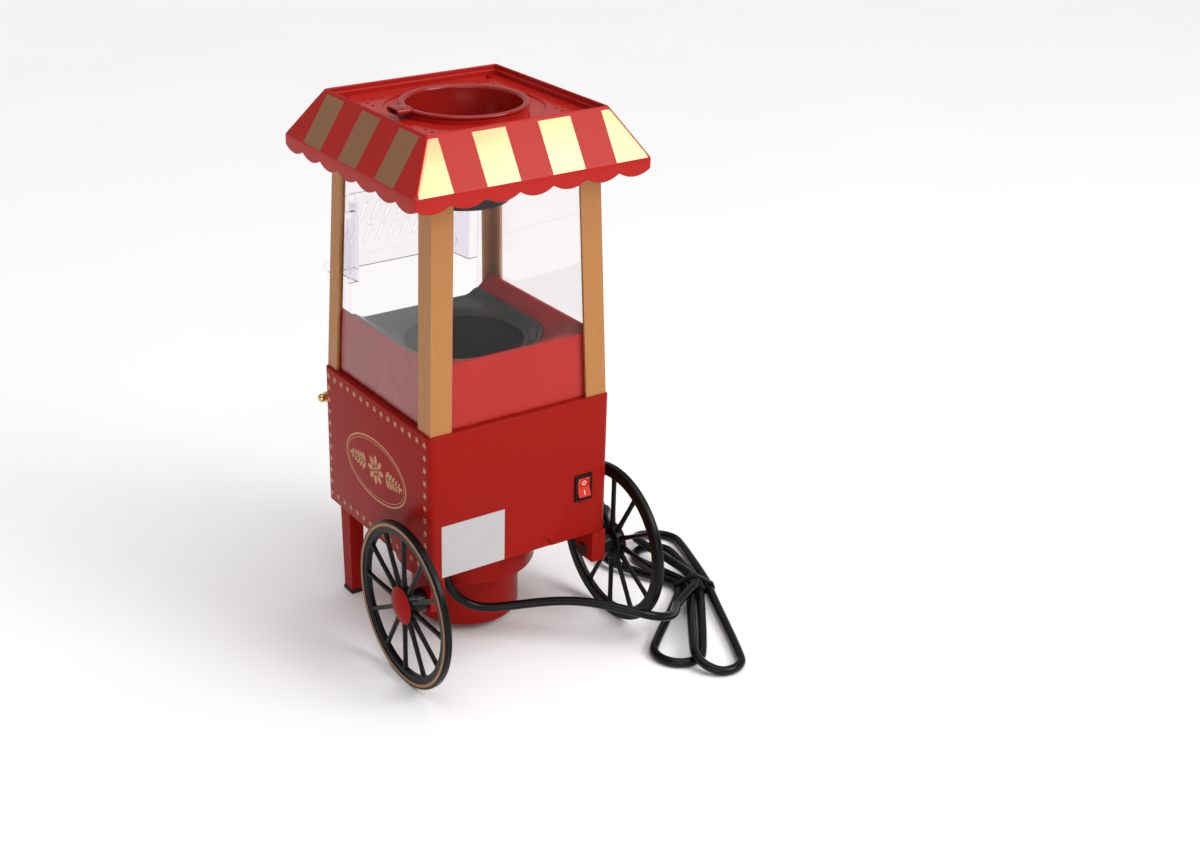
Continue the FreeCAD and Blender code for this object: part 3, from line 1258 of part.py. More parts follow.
def hank_stations():
    rest = CORD_DIAMETER / 2 + LEAD_REST
    over = rest + CORD_DIAMETER + 0.9
    start = V(*LEAD_ROUTE[-1])
    way = (start - V(*LEAD_ROUTE[-2])).normalize()
    stations = [(start, way), (start + way * CORD_DIAMETER, way)]
    stations.append((hank_point(20.0, 8.0, over + 1.9), hank_way(-0.9, -0.42)))
    stations.append(waist(0, True, True))
    stations += hank_loop(-1, 95.0, 15.0, 19.0, 1, (over, rest, rest))
    stations.append(waist(-3, False))
    stations += hank_loop(1, 121.0, -1.5, 18.0, -1, (rest, rest, over))
    stations.append(waist(1, True))
    stations += hank_loop(-1, 76.0, 25.0, 16.5, 1, (rest, rest, rest))
    stations.append(waist(-1, False))
    stations += hank_loop(1, 112.0, 15.5, 18.5, -1, (rest, rest, rest))
    stations.append(waist(3, True))
    stations.append((hank_point(-27.0, 46.0, rest + 1.5), hank_way(-0.5, 0.87)))
    end, end_way = plug_start()
    stations.append((end - end_way * CORD_DIAMETER, end_way))
    stations.append((end, end_way))
    return stations


def plug_start():
    return hank_point(-66.0, 72.0, PLUG_THICKNESS / 2 + LEAD_REST), hank_way(-1.0, 0.0)


def make_cord_hank():
    edges, radii = smooth_path(hank_stations())
    tube, length = round_tube(edges, CORD_DIAMETER / 2)
    area = math.pi * CORD_DIAMETER ** 2 / 4
    share = tube.Volume / (area * length)
    print("cord hank: length %.1f, volume over section times length %.4f" % (length, share))
    print("cord hank: least radius %.1f, least self-gap %.2f"
          % (min(radii), least_self_gap(edges, CORD_DIAMETER, 2.0, 26.0)))
    return tube


def in_hank_frame(shape):
    # From a frame with X along the hank and Y across it.
    placed = shape.copy()
    placed.rotate(V(0, 0, 0), UP, HANK_TURN)
    placed.translate(V(HANK_X, HANK_Y, 0))
    return placed


def make_cord_tie():
    half = 1.5 * STRAND_PITCH + CORD_DIAMETER / 2 + TIE_CLEARANCE
    low = LEAD_REST + WAIST_LIFT - TIE_CLEARANCE
    high = LEAD_REST + WAIST_LIFT + STRAND_LIFT + CORD_DIAMETER + TIE_CLEARANCE
    band = box(-TIE_WIDTH / 2, TIE_WIDTH / 2, -half - TIE_THICKNESS, half + TIE_THICKNESS,
               low - TIE_THICKNESS, high + TIE_THICKNESS)
    opening = box(-TIE_WIDTH, TIE_WIDTH, -half, half, low, high)
    tail = box(-TIE_WIDTH / 4, TIE_WIDTH / 4, -half - 2 * TIE_WIDTH, -half, high - TIE_THICKNESS, high)
    return in_hank_frame(joined([band.cut(opening), tail.cut(opening)]))


def in_plug_frame(shape):
    # From a frame with X along the plug from the end of the lead.
    end, way = plug_start()
    placed = shape.copy()
    placed.rotate(V(0, 0, 0), UP, math.degrees(math.atan2(way.y, way.x)))
    placed.translate(end)
    return placed


def make_plug_body():
    half_width = PLUG_WIDTH / 2
    half_thickness = PLUG_THICKNESS / 2
    tail = Part.makeCone(PLUG_TAIL_RADIUS * 0.85, PLUG_TAIL_RADIUS * 1.3, PLUG_TAIL, V(0, 0, 0), ALONG_X)
    body = box(PLUG_TAIL, PLUG_TAIL + PLUG_LENGTH, -half_width, half_width, -half_thickness, half_thickness)
    long_edges = [edge for edge in body.Edges if abs(edge.tangentAt(edge.FirstParameter).x) > 0.9]
    body = body.makeFillet(half_thickness * 0.8, long_edges)
    return in_plug_frame(joined([tail, body]))


def make_plug_pins():
    start = PLUG_TAIL + PLUG_LENGTH
    pins = []
    for side in (1, -1):
        y = side * PIN_SPACING / 2
        pins.append(in_plug_frame(rod(PIN_RADIUS, V(start, y, 0), V(start + PIN_LENGTH, y, 0))))
    return Part.makeCompound(pins)


# Pairs that are mirror images of each other

def write_pairs():
    for name, make in (("axle_bracket", make_axle_bracket), ("axle", make_axle), ("wheel", make_wheel),
                       ("hub_cap", make_hub_cap), ("front_leg", make_front_leg), ("foot_pad", make_foot_pad),
                       ("side_window", make_side_window)):
        right = make()
        write(name + "_right", right)
        write(name + "_left", mirrored(right))
    clip = make_axle_clip()
    write("axle_clips", Part.makeCompound([clip, mirrored(clip)]))
    front = make_post(POST_LEG_FRONT, POST_LEG_SIDE_FRONT, -1)
    rear = make_post(POST_LEG_REAR, POST_LEG_REAR, 1)
    write("corner_post_front_right", front)
    write("corner_post_front_left", mirrored(front))
    write("corner_post_rear_right", rear)
    write("corner_post_rear_left", mirrored(rear))


SINGLE_PIECES = [
    ("base_shell", make_base_shell), ("base_floor", make_base_floor), ("deck_shell", make_deck_shell),
    ("chute_pan", make_chute_pan), ("popping_chamber", make_popping_chamber), ("air_duct", make_air_duct),
    ("heater_frame", make_heater_frame), ("heater_coil", make_heater_coil), ("thermostat", make_thermostat),
    ("thermal_fuse", make_thermal_fuse), ("motor_housing", make_motor_housing),
    ("intake_grille", make_intake_grille), ("motor_can", make_motor_can), ("motor_carrier", make_motor_carrier),
    ("rectifier_board", make_rectifier_board), ("motor_shaft", make_motor_shaft),
    ("fan_impeller", make_fan_impeller), ("switch_bezel", make_switch_bezel),
    ("switch_rocker", make_switch_rocker), ("switch_terminals", make_switch_terminals),
    ("rating_label", make_rating_label), ("push_handle", make_push_handle), ("front_frame", make_front_frame),
    ("front_flap", make_front_flap), ("canopy", make_canopy), ("canopy_tray", make_canopy_tray),
    ("feed_bowl", make_feed_bowl), ("measuring_cup", make_measuring_cup), ("cord_gland", make_cord_gland),
    ("cord_lead", make_cord_lead), ("cord_hank", make_cord_hank), ("cord_tie", make_cord_tie),
    ("plug_body", make_plug_body), ("plug_pins", make_plug_pins),
]

for piece_name, make_piece in SINGLE_PIECES:
    write(piece_name, make_piece())
write("rear_window", end_window(1))
write_pairs()
make_screws()
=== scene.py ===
import json
import math
from collections import namedtuple

import bmesh
import bpy
from mathutils import Matrix, Vector
from mathutils.bvhtree import BVHTree


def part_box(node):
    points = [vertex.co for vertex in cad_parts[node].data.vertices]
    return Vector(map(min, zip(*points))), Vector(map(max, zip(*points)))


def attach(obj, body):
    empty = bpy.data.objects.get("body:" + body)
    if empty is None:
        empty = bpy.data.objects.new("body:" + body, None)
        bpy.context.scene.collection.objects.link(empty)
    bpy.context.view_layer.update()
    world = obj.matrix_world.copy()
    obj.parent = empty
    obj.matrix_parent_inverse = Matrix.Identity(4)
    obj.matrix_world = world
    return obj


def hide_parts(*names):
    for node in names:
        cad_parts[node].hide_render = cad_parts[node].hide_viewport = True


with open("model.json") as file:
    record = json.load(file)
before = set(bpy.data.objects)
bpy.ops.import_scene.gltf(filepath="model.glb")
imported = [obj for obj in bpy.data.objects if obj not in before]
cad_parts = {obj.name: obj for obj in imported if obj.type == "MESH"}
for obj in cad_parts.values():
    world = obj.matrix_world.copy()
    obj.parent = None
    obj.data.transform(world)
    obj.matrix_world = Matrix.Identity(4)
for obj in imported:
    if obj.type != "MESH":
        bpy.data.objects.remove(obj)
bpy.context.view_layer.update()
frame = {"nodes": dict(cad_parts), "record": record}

MM = 0.001
nodes = frame["nodes"]
body_of_node = {n: b for b, members in frame["record"]["behaviour"]["bodies"].items() for n in members}

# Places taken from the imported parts, in metres
base_low, base_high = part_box("base_shell")
roof_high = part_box("canopy")[1]
cup_low, cup_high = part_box("measuring_cup")
wheel_low, wheel_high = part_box("wheel_right")
cap_low, cap_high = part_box("hub_cap_right")
rocker_low, rocker_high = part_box("switch_rocker")
MIDDLE_Y = (base_low.y + base_high.y) / 2
MIDDLE = (0.0, MIDDLE_Y)
BASE_HALF_X = base_high.x
BASE_HALF_Y = (base_high.y - base_low.y) / 2
WHEEL_RADIUS = wheel_high.z / 2
WHEEL_Y = (wheel_low.y + wheel_high.y) / 2

# What only the looks need: lengths in metres, angles in degrees, counts and shares
CORNER_STEPS = 8
SMALLEST_CORNER = 0.05 * MM
MERGE_GAP = 1e-6
ON_AXIS = 1e-7
SHARP_ANGLE = 32.0
FLAT_ANGLE = 0.6
RIM_TILT = 0.8
BASE_CORNER = 5.0 * MM
BASE_WALL = 2.5 * MM
BASE_LEDGE = 13.5 * MM
EAVE_Z = 377.6 * MM
ROOF_TOP_HALF = 73.0 * MM
ROOF_CORNER = 1.6 * MM
SCALLOPS = 7
SCALLOP_STEPS = 14
SCALLOP_HIGH = 7.2 * MM
SCALLOP_LOW = 11.6 * MM
STRIPE_PITCH = 26.2 * MM
STRIPE_SKIN = 0.9 * MM
HIP_LINE = 1.1 * MM
BARE_TOP = 2.2 * MM
BARE_EAVE = 0.6 * MM
SPOKES = 12
TAN_LINE_RADIUS = 60.4 * MM
TAN_LINE_HALF = 1.1 * MM
PRINT_LIFT = 0.08 * MM
PRINT_MARGIN = 7.0 * MM
STARS_ACROSS = 14
STARS_UP = 10
CORD_RADIUS = 3.5 * MM

# Camera and studio
CAMERA_PLACE = (0.6356, 1.0408 + MIDDLE_Y, 0.7267)
CAMERA_AIM = (-0.4805, -0.7807, -0.3995)
CAMERA_LENS = 52.99
CAMERA_SHIFT = (0.10833, -0.0375)
SUN_SPREAD = 70.0
SKY_STRENGTH = 0.38
FLOOR_HALF = 6.0
FLOOR_Z = -0.1 * MM


# Camera, floor and lights

def new_object(name, data):
    made = bpy.data.objects.new(name, data)
    bpy.context.scene.collection.objects.link(made)
    return made


def aimed(name, data, place, direction, axis="-Z"):
    made = new_object(name, data)
    made.location = place
    made.rotation_mode = "QUATERNION"
    made.rotation_quaternion = Vector(direction).to_track_quat(axis, "Y")
    return made


def make_camera():
    data = bpy.data.cameras.new("photo_camera")
    data.sensor_width = 36.0
    data.lens = CAMERA_LENS
    data.shift_x, data.shift_y = CAMERA_SHIFT
    data.clip_start = 0.05
    bpy.context.scene.camera = aimed("photo_camera", data, CAMERA_PLACE, CAMERA_AIM)


def soft_box(name, place, aim, size, power):
    data = bpy.data.lights.new(name, "AREA")
    data.shape = "RECTANGLE"
    data.size, data.size_y = size
    data.energy = power
    aimed(name, data, place, Vector(aim) - Vector(place))


def soft_sun(name, towards, strength):
    data = bpy.data.lights.new(name, "SUN")
    data.energy = strength
    data.angle = math.radians(SUN_SPREAD)
    aimed(name, data, (0.0, 0.0, 0.0), towards, "Z")


def make_sky():
    # A soft grey room, with a white backdrop where the camera looks past the floor.
    world = bpy.data.worlds.new("studio")
    world.use_nodes = True
    tree = world.node_tree
    sky = tree.nodes["Background"]
    set_inputs(sky, {"Color": (1.0, 0.99, 0.985, 1.0), "Strength": SKY_STRENGTH})
    backdrop = node_of(tree, "ShaderNodeBackground", {"Color": (1.0, 1.0, 1.0, 1.0)})
    seen = node_of(tree, "ShaderNodeLightPath").outputs["Is Camera Ray"]
    blended(tree, seen, sky, backdrop, "World Output")
    bpy.context.scene.world = world


def make_studio():
    make_sky()
    bpy.context.scene.view_settings.view_transform = "Standard"
    soft_sun("studio_sky", (-0.15, 0.30, 1.0), 1.85)
    soft_box("rear_key", (-0.93, 1.42, 1.30), (0.0, 0.0, 0.36), (0.85, 0.62), 15.5)
    soft_box("low_fill", (1.25, 1.95, 0.50), (0.0, 0.0, 0.28), (1.5, 0.7), 12.0)
    corners = ((-1, -1), (1, -1), (1, 1), (-1, 1))
    places = [(x * FLOOR_HALF, y * FLOOR_HALF, 0.0) for x, y in corners]
    floor = mesh_object("studio_floor", places, [(0, 1, 2, 3)])
    floor.location.z = FLOOR_Z
    floor.data.materials.append(
        plain("floor_paper", (0.94, 0.94, 0.94), (0.955, 0.955, 0.955), (0.8, 0.9), cloud_scale=4.0))


# Mesh helpers

def mesh_object(name, points, faces):
    mesh = bpy.data.meshes.new(name)
    mesh.from_pydata(points, [], faces)
    mesh.update()
    return new_object(name, mesh)


def outward(made):
    work = bmesh.new()
    work.from_mesh(made.data)
    bmesh.ops.remove_doubles(work, verts=work.verts, dist=MERGE_GAP)
    bmesh.ops.recalc_face_normals(work, faces=work.faces)
    work.to_mesh(made.data)
    work.free()
    return made


def shade(made, angle):
    for face in made.data.polygons:
        face.use_smooth = True
    made.data.set_sharp_from_angle(angle=math.radians(angle))


def round_edges(made, width, segments):
    bevel = made.modifiers.new("rounded_edges", "BEVEL")
    bevel.width = width
    bevel.segments = segments
    bevel.limit_method = "ANGLE"
    bevel.angle_limit = math.radians(SHARP_ANGLE)
    bevel.use_clamp_overlap = True
    bevel.harden_normals = True


def join(name, parts):
    work = bmesh.new()
    for part in parts:
        work.from_mesh(part.data)
    mesh = bpy.data.meshes.new(name)
    work.to_mesh(mesh)
    work.free()
    for part in parts:
        bpy.data.objects.remove(part)
    return new_object(name, mesh)


def baked(made):
    # The evaluated mesh takes the place of the object's own, and its modifiers go.
    graph = bpy.context.evaluated_depsgraph_get()
    mesh = bpy.data.meshes.new_from_object(made.evaluated_get(graph), depsgraph=graph)
    made.modifiers.clear()
    made.data = mesh
    return made


def thickened(made, thickness, offset):
    thick = made.modifiers.new("thick", "SOLIDIFY")
    thick.thickness = thickness
    thick.offset = offset
    return baked(made)


def cut_away(made, cutters):
    for cutter in cutters:
        boolean = made.modifiers.new("cut", "BOOLEAN")
        boolean.object = cutter
        boolean.operation = "DIFFERENCE"
        boolean.solver = "EXACT"
    baked(made)
    for cutter in cutters:
        bpy.data.objects.remove(cutter)


def finished(made, material, body):
    made.data.materials.clear()
    made.data.materials.append(material)
    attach(made, body)


def dress(made, node, material, sharp=SHARP_ANGLE):
    # The piece stands in for one imported part, hides it and takes over its body.
    shade(made, sharp)
    finished(made, material, body_of_node[node])
    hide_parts(node)
    return made


def softened(node, material, width, segments=2):
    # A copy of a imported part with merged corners, flat faces made whole and edges rounded over.
    mesh = nodes[node].data.copy()
    work = bmesh.new()
    work.from_mesh(mesh)
    bmesh.ops.remove_doubles(work, verts=work.verts, dist=2 * MERGE_GAP)
    bmesh.ops.dissolve_limit(work, angle_limit=math.radians(FLAT_ANGLE), verts=work.verts, edges=work.edges)
    work.to_mesh(mesh)
    work.free()
    made = new_object(node + "_moulded", mesh)
    round_edges(made, width, segments)
    return dress(made, node, material)


def mark_rims(made):
    # Faces across a panel's thickness are marked, because clear plastic shows its tint there.
    faces = made.data.polygons
    panel = max(faces, key=lambda face: face.area).normal.copy()
    rims = made.data.attributes.new("rim", "FLOAT", "FACE")
    for face, rim in zip(faces, rims.data):
        rim.value = float(abs(face.normal.dot(panel)) < RIM_TILT)


def arc(centre_a, centre_b, radius, start, end, steps=5):
    places = []
    for step in range(steps + 1):
        angle = math.radians(start + (end - start) * step / steps)
        places.append((centre_a + radius * math.cos(angle), centre_b + radius * math.sin(angle)))
    return places


def rounded_rectangle(half_x, half_y, corner, z, per_side=1):
    # Round corners about the machine's middle, with each straight stretch split into per_side pieces.
    corner = max(corner, SMALLEST_CORNER)
    bends = []
    for quarter, (sign_x, sign_y) in enumerate(((1, 1), (-1, 1), (-1, -1), (1, -1))):
        centre_x = sign_x * (half_x - corner)
        centre_y = sign_y * (half_y - corner) + MIDDLE_Y
        places = arc(centre_x, centre_y, corner, 90.0 * quarter, 90.0 * (quarter + 1), CORNER_STEPS)
        bends.append([Vector((x, y, z)) for x, y in places])
    ring = []
    for quarter, bend in enumerate(bends):
        after = bends[(quarter + 1) % 4][0]
        ring += bend
        ring += [bend[-1].lerp(after, step / per_side) for step in range(1, per_side)]
    return ring


def skinned(name, rings, closed=False, capped=False):
    count = len(rings[0])
    points = [point for ring in rings for point in ring]
    faces = []
    rows = len(rings) if closed else len(rings) - 1
    for row in range(rows):
        here = row * count
        there = (row + 1) % len(rings) * count
        for index in range(count):
            after = (index + 1) % count
            faces.append((here + index, here + after, there + after, there + index))
    if capped:
        faces.append(tuple(range(count)))
        faces.append(tuple(range((len(rings) - 1) * count, len(rings) * count)))
    return outward(mesh_object(name, points, faces))


def tube(name, sections, steps, powers, middle=(0.0, 0.0)):
    # Ovals of (place along X, half width, half height), closed at both ends; powers below 1 square them off.
    rings = []
    for along, half_y, half_z in sections:
        ring = []
        for step in range(steps):
            angle = 2 * math.pi * step / steps
            c, s = math.cos(angle), math.sin(angle)
            y = half_y * math.copysign(abs(c) ** powers[0], c)
            z = half_z * math.copysign(abs(s) ** powers[1], s)
            ring.append(Vector((along, middle[0] + y, middle[1] + z)))
        rings.append(ring)
    return skinned(name, rings, capped=True)


def turned(name, profile, steps, centre=(0.0, 0.0), closed=True):
    # Profile of (radius, height) turned about an upright axis; points on the axis stand a hair off it.
    rings = []
    for radius, height in profile:
        places = arc(*centre, max(radius, ON_AXIS), 0.0, 360.0, steps)[:-1]
        rings.append([Vector((x, y, height)) for x, y in places])
    return skinned(name, rings, closed=closed)


def onto_axle(made, side):
    # From an upright axis at the origin to the axle's line, outwards on that side.
    turn = Matrix.Rotation(side * math.pi / 2, 4, "Y")
    made.data.transform(Matrix.Translation((0, WHEEL_Y, WHEEL_RADIUS)) @ turn)
    outward(made)


def box_mesh(name, low, high):
    points = [(x, y, z) for x in (low.x, high.x) for y in (low.y, high.y) for z in (low.z, high.z)]
    faces = [(0, 1, 3, 2), (4, 6, 7, 5), (0, 4, 5, 1), (2, 3, 7, 6), (0, 2, 6, 4), (1, 5, 7, 3)]
    return outward(mesh_object(name, points, faces))


# Shader helpers

def set_inputs(node, values):
    # Sockets are linked and other values are set.
    for name, value in values.items():
        if isinstance(value, bpy.types.NodeSocket):
            node.id_data.links.new(value, node.inputs[name])
        else:
            node.inputs[name].default_value = value


def node_of(tree, kind, inputs=None, **settings):
    made = tree.nodes.new(kind)
    for key, value in settings.items():
        setattr(made, key, value)
    set_inputs(made, inputs or {})
    return made


def maths(tree, operation, *values):
    return node_of(tree, "ShaderNodeMath", dict(enumerate(values)), operation=operation).outputs[0]


def mixed(tree, mask, first, second):
    made = node_of(tree, "ShaderNodeMix", {"Factor": mask}, data_type="RGBA")
    places = [place for place, socket in enumerate(made.inputs) if socket.type == "RGBA"]
    colours = [(*value, 1.0) if isinstance(value, tuple) else value for value in (first, second)]
    set_inputs(made, dict(zip(places, colours)))
    return [socket for socket in made.outputs if socket.type == "RGBA"][0]


def mixed_value(tree, mask, first, second):
    inputs = {"Factor": mask, "A": first, "B": second}
    return node_of(tree, "ShaderNodeMix", inputs, data_type="FLOAT").outputs[0]


def blended(tree, mask, first, second, end):
    made = node_of(tree, "ShaderNodeMixShader", {0: mask, 1: first.outputs[0], 2: second.outputs[0]})
    set_inputs(tree.nodes[end], {"Surface": made.outputs[0]})


def add_sockets(tree, way, kind, *names):
    for name in names:
        tree.interface.new_socket(name, in_out=way, socket_type="NodeSocket" + kind)


def moulding_group():
    # Orange peel and cloudy gloss of a moulded surface, from the surface's own coordinates.
    tree = bpy.data.node_groups.new("moulded_surface", "ShaderNodeTree")
    add_sockets(tree, "INPUT", "Vector", "Vector")
    add_sockets(tree, "INPUT", "Float", "Peel Scale", "Cloud Scale", "Gloss Low", "Gloss High")
    add_sockets(tree, "OUTPUT", "Float", "Cloud", "Roughness", "Height")
    start = node_of(tree, "NodeGroupInput").outputs
    noises = []
    for name in ("Peel Scale", "Cloud Scale"):
        sizes = {"Vector": start["Vector"], "Scale": start[name], "Detail": 2.0, "Roughness": 0.5}
        noises.append(node_of(tree, "ShaderNodeTexNoise", sizes).outputs["Fac"])
    peel, cloud = noises
    spread = {"Value": cloud, "From Min": 0.3, "From Max": 0.7, "To Min": start["Gloss Low"],
              "To Max": start["Gloss High"]}
    gloss = node_of(tree, "ShaderNodeMapRange", spread).outputs["Result"]
    node_of(tree, "NodeGroupOutput", {"Cloud": cloud, "Roughness": gloss, "Height": peel})
    return tree


MOULDED = moulding_group()
Surface = namedtuple("Surface", "material tree shader place cloud rough")


def surface(name, gloss, peel=0.02, cloud_scale=18.0, index=1.45):
    # A material with the moulded surface's gloss and bump; its colour is built on what is returned.
    material = bpy.data.materials.new(name)
    material.use_nodes = True
    tree = material.node_tree
    shader = tree.nodes["Principled BSDF"]
    place = node_of(tree, "ShaderNodeTexCoord").outputs["Object"]
    sizes = {"Vector": place, "Peel Scale": 300.0, "Cloud Scale": cloud_scale, "Gloss Low": gloss[0],
             "Gloss High": gloss[1]}
    group = node_of(tree, "ShaderNodeGroup", sizes, node_tree=MOULDED).outputs
    if peel:
        dents = {"Strength": peel, "Distance": 0.05 * MM, "Height": group["Height"]}
        set_inputs(shader, {"Normal": node_of(tree, "ShaderNodeBump", dents).outputs["Normal"]})
    set_inputs(shader, {"Roughness": group["Roughness"], "IOR": index})
    return Surface(material, tree, shader, place, group["Cloud"], group["Roughness"])


def plain(name, dark, light, gloss, metallic=0.0, coat=0.0, **settings):
    made = surface(name, gloss, **settings)
    colour = mixed(made.tree, made.cloud, dark, light)
    set_inputs(made.shader, {"Base Color": colour, "Metallic": metallic, "Coat Weight": coat})
    return made.material


def red_plastic(name, gloss, index):
    return plain(name, (0.278, 0.0085, 0.0058), (0.303, 0.0105, 0.0072), gloss, index=index)


def stripe_mask(tree, place):
    # Alternate bands between the hips, only on the outer skin, bare along the top and the eave.
    x, y, z = node_of(tree, "ShaderNodeSeparateXYZ", {0: place}).outputs
    y = maths(tree, "SUBTRACT", y, MIDDLE_Y)
    size_x = maths(tree, "ABSOLUTE", x)
    size_y = maths(tree, "ABSOLUTE", y)
    on_side = maths(tree, "GREATER_THAN", size_x, size_y)
    pitches = maths(tree, "DIVIDE", mixed_value(tree, on_side, x, y), STRIPE_PITCH)
    band = maths(tree, "FLOOR", maths(tree, "ADD", pitches, 0.5))
    mask = maths(tree, "FLOORED_MODULO", maths(tree, "ADD", band, on_side), 2.0)
    from_hip = maths(tree, "ABSOLUTE", maths(tree, "SUBTRACT", size_x, size_y))
    slope = (ROOF_TOP_HALF - roof_high.x) / (roof_high.z - EAVE_Z)
    inset = maths(tree, "MULTIPLY", maths(tree, "SUBTRACT", z, EAVE_Z), slope)
    skin = maths(tree, "ADD", inset, roof_high.x - STRIPE_SKIN)
    limits = (
        maths(tree, "GREATER_THAN", from_hip, HIP_LINE),
        maths(tree, "LESS_THAN", z, roof_high.z - BARE_TOP),
        maths(tree, "GREATER_THAN", z, EAVE_Z + BARE_EAVE),
        maths(tree, "GREATER_THAN", maths(tree, "MAXIMUM", size_x, size_y), skin),
    )
    for limit in limits:
        mask = maths(tree, "MULTIPLY", mask, limit)
    return mask


def striped_red():
    # Red roof with lacquered gold stripes.
    made = surface("striped_roof", (0.33, 0.36), index=1.27)
    tree = made.tree
    mask = stripe_mask(tree, made.place)
    red = mixed(tree, made.cloud, (0.375, 0.0105, 0.0068), (0.41, 0.013, 0.0085))
    gold = mixed(tree, made.cloud, (0.42, 0.185, 0.08), (0.46, 0.21, 0.092))
    set_inputs(made.shader, {
        "Base Color": mixed(tree, mask, red, gold),
        "Roughness": mixed_value(tree, mask, made.rough, 0.21),
        "Metallic": maths(tree, "MULTIPLY", mask, 0.8),
        "Coat Weight": maths(tree, "MULTIPLY", mask, 0.55),
        "Coat Roughness": 0.22,
        "Coat IOR": 1.5,
    })
    return made.material


def gold_lacquer():
    # Satin gold on the posts, brushed lengthwise.
    made = surface("gold_lacquer", (0.25, 0.28), index=1.28, peel=0.0)
    tree = made.tree
    squeeze = node_of(tree, "ShaderNodeMapping", {"Vector": made.place, "Scale": (900.0, 900.0, 6.0)})
    streaks = {"Vector": squeeze.outputs["Vector"], "Scale": 1.0, "Detail": 3.0}
    grain = node_of(tree, "ShaderNodeTexNoise", streaks).outputs["Fac"]
    gold = mixed(tree, grain, (0.38, 0.16, 0.052), (0.455, 0.204, 0.071))
    set_inputs(made.shader, {"Base Color": gold, "Metallic": 0.25})
    return made.material


def clear_plastic(name, coat, index):
    # Clear styrene: it lets light through to what stands behind it, and its skin mirrors the room.
    made = surface(name, (0.0, 0.004), peel=0.0, index=index)
    tree = made.tree
    panel = mixed(tree, made.cloud, (0.975, 0.955, 0.965), (0.985, 0.965, 0.972))
    rim = node_of(tree, "ShaderNodeAttribute", attribute_name="rim").outputs["Fac"]
    colour = mixed(tree, rim, panel, (0.80, 0.78, 0.86))
    set_inputs(made.shader, {"Base Color": colour, "Transmission Weight": 1.0, "Coat Weight": coat,
                             "Coat Roughness": 0.02})
    open_way = node_of(tree, "ShaderNodeBsdfTransparent", {"Color": (0.97, 0.95, 0.95, 1.0)})
    shadow = node_of(tree, "ShaderNodeLightPath").outputs["Is Shadow Ray"]
    blended(tree, shadow, made.shader, open_way, "Material Output")
    return made.material


BLACK_DARK = (0.003, 0.0026, 0.0025)
BLACK_LIGHT = (0.005, 0.0046, 0.0044)
BLACK_GLOSS = (0.28, 0.34)


def wheel_black(side):
    # Black plastic with a tan line printed round the outer face of the rim.
    made = surface("wheel_black_" + side, BLACK_GLOSS, index=1.24)
    tree = made.tree
    to_axle = {"Vector": made.place, "Location": (0.0, -WHEEL_Y, -WHEEL_RADIUS)}
    shift = node_of(tree, "ShaderNodeMapping", to_axle).outputs["Vector"]
    x, y, z = node_of(tree, "ShaderNodeSeparateXYZ", {0: shift}).outputs
    flat = node_of(tree, "ShaderNodeCombineXYZ", {"Y": y, "Z": z}).outputs[0]
    reach = node_of(tree, "ShaderNodeVectorMath", {0: flat}, operation="LENGTH").outputs["Value"]
    from_line = maths(tree, "ABSOLUTE", maths(tree, "SUBTRACT", reach, TAN_LINE_RADIUS))
    on_line = maths(tree, "LESS_THAN", from_line, TAN_LINE_HALF)
    size_x = maths(tree, "ABSOLUTE", x)
    outer_face = maths(tree, "GREATER_THAN", size_x, wheel_high.x - 0.5 * MM)
    mask = maths(tree, "MULTIPLY", on_line, outer_face)
    black = mixed(tree, made.cloud, BLACK_DARK, BLACK_LIGHT)
    set_inputs(made.shader, {"Base Color": mixed(tree, mask, black, (0.34, 0.155, 0.06))})
    return made.material


